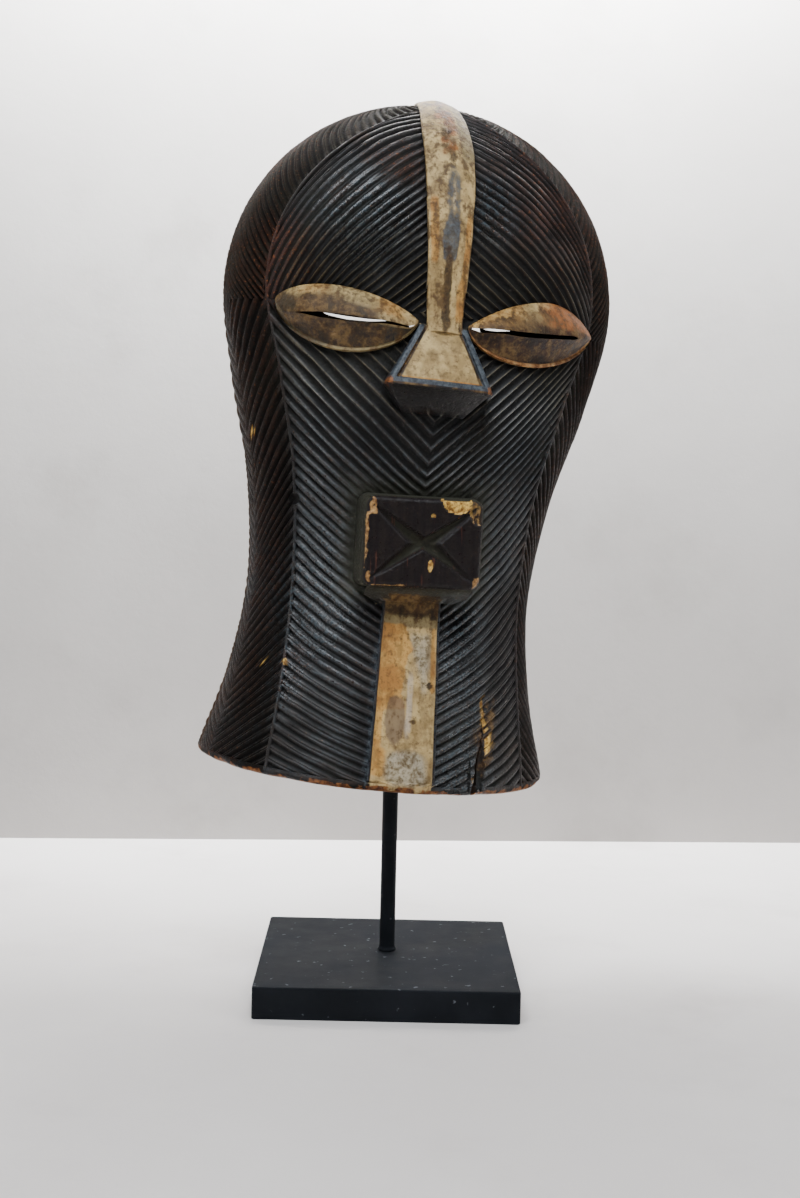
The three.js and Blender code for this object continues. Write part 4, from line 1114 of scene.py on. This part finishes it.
def build_plate():
    half, thick, edge = PLATE.half, PLATE.thick, PLATE.edge
    rings = [plate_ring(half - 0.4, 0), plate_ring(half, 0.4)]
    rings += [plate_ring(half, z) for z in np.linspace(1, thick - edge, 6)]
    rings += [plate_ring(half - edge + edge * math.cos(t), thick - edge + edge * math.sin(t))
              for t in np.linspace(0.3, math.pi / 2, 5)]
    rings += [plate_ring(h, thick) for h in (60, 40, 20, 6)]
    plate = loft("base_plate", rings)
    smooth_shaded(plate)
    return plate


rod = build_rod()
plate = build_plate()


# materials
def srgb(r, g, b):
    channel = lambda c: c / 255 / 12.92 if c / 255 <= 0.04045 else ((c / 255 + 0.055) / 1.055) ** 2.4
    return (channel(r), channel(g), channel(b), 1)


class Nodes:
    def __init__(self, name):
        self.material = bpy.data.materials.new(name)
        self.material.use_nodes = True
        self.tree = self.material.node_tree
        self.shader = self.tree.nodes["Principled BSDF"]
        self.place = self.tree.nodes.new("ShaderNodeTexCoord").outputs["Object"]

    def put(self, socket, value):
        if hasattr(value, "links"):
            self.tree.links.new(value, socket)
        else:
            socket.default_value = value

    def node(self, kind, inputs, **settings):
        """The outputs of a new node with these inputs, which are values or sockets."""
        node = self.tree.nodes.new("ShaderNode" + kind)
        for key, value in settings.items():
            setattr(node, key, value)
        for key, value in inputs.items():
            self.put(node.inputs[key], value)
        return node.outputs

    def attribute(self, name):
        return self.node("Attribute", {}, attribute_name=name)["Fac"]

    def noise(self, scale, detail=4.0, rough=0.55, stretch=(1, 1, 1)):
        place = self.node("Mapping", {"Vector": self.place, "Scale": stretch})["Vector"]
        shape = {"Vector": place, "Scale": scale, "Detail": detail, "Roughness": rough}
        return self.node("TexNoise", shape)["Fac"]

    def math(self, operation, a, b):
        return self.node("Math", {0: a, 1: b}, operation=operation)[0]

    def times(self, a, b):
        return self.math("MULTIPLY", a, b)

    def ranged(self, value, low, high, to_low=0.0, to_high=1.0):
        limits = {"Value": value, "From Min": low, "From Max": high, "To Min": to_low, "To Max": to_high}
        return self.node("MapRange", limits, interpolation_type="SMOOTHSTEP")["Result"]

    def mix(self, share, a, b):
        return self.node("Mix", {0: share, 6: a, 7: b}, data_type="RGBA")[2]

    def two(self, field, low, high, a, b):
        """One colour where a field is low and another where it is high."""
        return self.mix(self.ranged(field, low, high), srgb(*a), srgb(*b))

    def layers(self, colour, coats):
        """Coats of (share, colour) one over the other."""
        for share, coat in coats:
            colour = self.mix(share, colour, srgb(*coat) if isinstance(coat, tuple) else coat)
        return colour

    def blend(self, share, a, b):
        return self.node("Mix", {0: share, 2: a, 3: b}, data_type="FLOAT")[0]

    def bump(self, height, strength, distance):
        return self.node("Bump", {"Height": height, "Strength": strength, "Distance": distance})["Normal"]

    def out(self, key, value):
        self.put(self.shader.inputs[key], value)


def mask_material():
    m = Nodes("carved_wood")
    broad = m.noise(22, 5)
    mid = m.noise(95, 5, 0.6)
    fine = m.noise(420, 5, 0.65)
    speck = m.noise(760, 3, 0.6)
    grain = m.noise(330, 4, 0.6, (1, 1, 0.06))
    streak = m.noise(240, 4, 0.6, (1, 1, 0.22))
    ragged = m.math("ADD", m.times(fine, 0.4), m.times(streak, 0.6))

    def edged(name, roam=1.3, soft=0.24, share=1.0):
        """A painted area whose edge wanders."""
        field = m.math("ADD", m.attribute(name), m.times(m.math("SUBTRACT", ragged, 0.5), roam))
        return m.ranged(field, 0.5 - soft, 0.5 + soft, 0, share)

    def strewn(name, low, high, least=0.0, most=1.0, pattern=None):
        """An area covered more or less densely."""
        return m.times(m.attribute(name), m.ranged(pattern or fine, low, high, least, most))

    def plain(name, share):
        return m.times(m.attribute(name), share)

    clay, brown = edged("clay", 1.1, 0.2), edged("brown", 1.4, 0.28, 0.9)
    dust = strewn("dust", 0.3, 0.6, 0.45, 0.95)
    colour = m.layers(m.two(broad, 0.35, 0.65, (24, 21, 21), (34, 28, 24)), [
        # painted bluish highlights where the ridges glint
        (strewn("painted_glint_and_gloss", 0.4, 0.62, 0.0, 0.75), (46, 60, 67)),
        (m.ranged(mid, 0.5, 0.7, 0, 0.65), (46, 34, 25)),
        (plain("olive", 0.6), (46, 42, 33)),
        (strewn("red", 0.38, 0.62, 0.2, 0.8, mid), (66, 34, 22)),
        (strewn("red", 0.57, 0.68, 0, 0.7, speck), (150, 84, 38)),
        # painted shade on the flanks
        (plain("flank_shade", 0.5), (20, 17, 13)),
        (strewn("ridge", 0.3, 0.6, 0.25, 0.95), (104, 94, 70)),
        (m.ranged(speck, 0.66, 0.74, 0, 0.5), (120, 80, 42)),
        # painted shade in the grooves and creases
        (plain("groove_shade", 0.92), (11, 10, 9)),
        (strewn("mouth", 0.4, 0.62, 0.5, 0.95, grain), (18, 12, 14)),
        (strewn("mouth", 0.6, 0.7, 0, 0.7, grain), (84, 48, 34)),
        (dust, (56, 56, 44))])
    pale = m.layers(m.two(mid, 0.38, 0.62, (190, 163, 112), (148, 123, 80)), [
        # olive paint, and painted shade at the top of the strip, on the lower lids and on the crest's right
        # flank
        (edged("olive_and_shade", share=0.7), (104, 94, 64)),
        (edged("ochre", share=0.8), m.two(mid, 0.35, 0.65, (194, 146, 72), (156, 104, 46))),
        (edged("rust", share=0.92), (138, 78, 30)),
        (edged("patch", 1.0, share=0.75), (108, 90, 74)),
        # silver paint, and painted highlights on the crest and at the foot of the strip
        (edged("silver_and_painted_shine", share=0.8), m.two(fine, 0.35, 0.65, (172, 164, 146), (116, 108, 86))),
        (edged("lilac", 1.2, 0.2, 0.7), (196, 184, 170)),
        (strewn("aged", 0.44, 0.6, 0, 0.82, ragged), (70, 48, 26)),
        (m.ranged(fine, 0.52, 0.7, 0, 0.6), (84, 60, 36))])
    dark = m.layers(m.two(mid, 0.36, 0.62, (24, 16, 11), (64, 42, 23)), [
        (m.ranged(m.blend(0.5, mid, fine), 0.47, 0.62, 0, 0.62), (124, 98, 58))])
    m.out("Base Color", m.layers(colour, [
        (clay, pale),
        # dark rubbed wood under a painted bluish sheen
        (edged("rubbed_wood_and_painted_sheen", 0.9, 0.3, 0.86), m.two(fine, 0.4, 0.7, (38, 44, 52), (82, 90, 96))),
        (brown, dark),
        (edged("worn", 1.5, 0.14), m.two(fine, 0.35, 0.65, (64, 34, 18), (130, 80, 40))),
        (edged("tan", 1.5, 0.16), m.two(fine, 0.35, 0.65, (110, 74, 42), (176, 138, 86))),
        (edged("fresh", 1.7, 0.2), m.two(fine, 0.35, 0.65, (222, 182, 98), (112, 72, 30))),
        # painted shade under the nose, near black
        (plain("nose_underside_shade", 0.92), (10, 8, 8)),
        (m.attribute("inside"), m.two(grain, 0.3, 0.75, (74, 54, 38), (54, 39, 28)))]))
    painted = m.math("MAXIMUM", clay, brown)
    gloss = m.blend(m.attribute("painted_glint_and_gloss"), 0.3, 0.62)
    for name, value in (("groove_shade", 0.16), ("flank_shade", 0.05), ("mouth", 0.18)):
        gloss = m.blend(m.attribute(name), gloss, value)
    m.out("Specular IOR Level", m.blend(painted, gloss, 0.2))
    rough = m.ranged(fine, 0.3, 0.7, 0.26, 0.5)
    for area, value in (("groove_shade", 0.75), ("painted_glint_and_gloss", 0.24), ("olive", 0.8), (painted, 0.55), (dust, 0.85),
                        ("inside", 0.85), ("fresh", 0.85)):
        rough = m.blend(m.attribute(area) if isinstance(area, str) else area, rough, value)
    m.out("Roughness", rough)
    height = m.math("ADD", m.times(fine, 0.8), m.math("ADD", m.times(speck, 0.5), m.times(grain, 0.4)))
    m.out("Normal", m.bump(height, 0.7, 0.0008))
    return m.material


def black_material(name, speck):
    m = Nodes(name)
    broad, fine = m.noise(30, 4), m.noise(900, 3, 0.7)
    specks = m.ranged(m.noise(260, 2, 0.5), 0.68, 0.76, 0, speck)
    base = m.two(broad, 0.35, 0.65, (22, 24, 27), (28, 30, 34))
    m.out("Base Color", m.layers(base, [(specks, (120, 124, 130))]))
    m.out("Roughness", m.ranged(broad, 0.3, 0.7, 0.5, 0.66))
    m.out("Specular IOR Level", 0.05)
    m.out("Normal", m.bump(fine, 0.15, 0.0003))
    return m.material


def stage_material(name, a, b, c):
    m = Nodes(name)
    stains = m.ranged(m.noise(9, 6, 0.65), 0.5, 0.75, 0, 0.5)
    m.out("Base Color", m.layers(m.two(m.noise(2.6, 5, 0.6), 0.35, 0.65, a, b), [(stains, c)]))
    m.out("Roughness", 0.75)
    m.out("Normal", m.bump(m.noise(60, 6, 0.7), 0.12, 0.002))
    return m.material


def one_sided(material):
    """Leaves a backdrop clear from its back, so that it doesn't hide the object in a view from behind."""
    tree = material.node_tree
    surface = next(node for node in tree.nodes if node.type == "OUTPUT_MATERIAL").inputs["Surface"]
    painted = surface.links[0].from_socket
    mix = tree.nodes.new("ShaderNodeMixShader")
    tree.links.new(tree.nodes.new("ShaderNodeNewGeometry").outputs["Backfacing"], mix.inputs[0])
    tree.links.new(painted, mix.inputs[1])
    tree.links.new(tree.nodes.new("ShaderNodeBsdfTransparent").outputs[0], mix.inputs[2])
    tree.links.new(mix.outputs[0], surface)
    return material


def wear(obj, material):
    obj.data.materials.clear()
    obj.data.materials.append(material)


wear(mask, mask_material())
wear(rod, black_material("rod_paint", 0.15))
wear(plate, black_material("plate_paint", 0.5))

for piece, node, slot in ((mask, "mask", "mask_wood"), (rod, "stand_rod", "rod_black"),
                          (plate, "stand_base", "base_black")):
    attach(piece, "root")
    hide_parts(node)


# stage, light and camera
def sheet(name, corners, material):
    mesh = bpy.data.meshes.new(name)
    mesh.from_pydata(corners, [], [(0, 1, 2, 3)])
    mesh.materials.append(material)
    obj = add_object(name, mesh)


LENS, SENSOR, PICTURE_WIDTH, PICTURE_HEIGHT = 50, 36, 800, 1198
# how far down the picture the wall meets the floor, at its left and right edge
WALL_FOOT = (838, 843)
WALL_HEIGHT = 4
CAMERA_PLACE = Vector((-0.004, -0.851, 0.261))
PITCH, ROLL, YAW = math.radians(4.09), math.radians(1.36), math.radians(0.44)
forward = Vector((math.sin(YAW) * math.cos(PITCH), math.cos(YAW) * math.cos(PITCH), -math.sin(PITCH)))
level = Vector((math.cos(YAW), -math.sin(YAW), 0))
upright = level.cross(forward)
right = math.cos(ROLL) * level + math.sin(ROLL) * upright
up = -math.sin(ROLL) * level + math.cos(ROLL) * upright
camera_data = bpy.data.cameras.new("camera")
camera_data.lens = LENS
camera_data.sensor_fit = "VERTICAL"
camera_data.sensor_height = SENSOR
camera_data.clip_start = 0.02
camera = add_object("camera", camera_data)
camera.matrix_world = Matrix.Translation(CAMERA_PLACE) @ Matrix((right, up, -forward)).transposed().to_4x4()
bpy.context.scene.camera = camera


def floor_point(px, py):
    """Where the sight line of a point of the picture meets the floor."""
    focal = LENS / SENSOR * PICTURE_HEIGHT
    ray = forward + right * ((px - PICTURE_WIDTH / 2) / focal) - up * ((py - PICTURE_HEIGHT / 2) / focal)
    return CAMERA_PLACE + ray * (-CAMERA_PLACE.z / ray.z)


left_foot, right_foot = floor_point(0, WALL_FOOT[0]), floor_point(PICTURE_WIDTH, WALL_FOOT[1])
along = (right_foot - left_foot).normalized()
away = Vector((-along.y, along.x, 0))
left_foot, right_foot = left_foot - along * 3, right_foot + along * 3
floor_material = stage_material("pale_floor", (226, 220, 216), (216, 209, 205), (199, 191, 187))
wall_material = one_sided(stage_material("pale_wall", (159, 154, 150), (149, 144, 140), (134, 129, 124)))
sheet("floor", [left_foot - away * 4, right_foot - away * 4, right_foot, left_foot], floor_material)
wall_height = Vector((0, 0, WALL_HEIGHT))
sheet("backdrop", [left_foot, right_foot, right_foot + wall_height, left_foot + wall_height], wall_material)


def area_light(name, place, target, size, power, colour):
    data = bpy.data.lights.new(name, "AREA")
    data.shape = "RECTANGLE"
    data.size, data.size_y = size
    data.energy = power
    data.color = colour
    obj = add_object(name, data)
    obj.location = place
    obj.rotation_euler = (Vector(target) - Vector(place)).to_track_quat("-Z", "Y").to_euler()


COOL = (0.88, 0.94, 1.0)
area_light("top_front", (-0.12, -0.75, 1.55), (0, 0.02, 0.28), (0.9, 0.6), 28, COOL)
area_light("window_left", (-1.15, -0.95, 0.8), (0, 0.05, 0.22), (0.5, 0.9), 6, COOL)
area_light("window_right", (1.3, -0.35, 0.85), (0, 0.05, 0.22), (0.5, 0.9), 8, (0.9, 0.95, 1.0))
area_light("wall_wash", (0, 0.2, 0.84), (0, 1.16, 0.56), (0.7, 0.1), 84, (0.93, 0.97, 1.0))
world = bpy.data.worlds.new("studio")
world.use_nodes = True
world.node_tree.nodes["Background"].inputs["Color"].default_value = (0.95, 0.97, 1.0, 1)
world.node_tree.nodes["Background"].inputs["Strength"].default_value = 0.1
bpy.context.scene.world = world
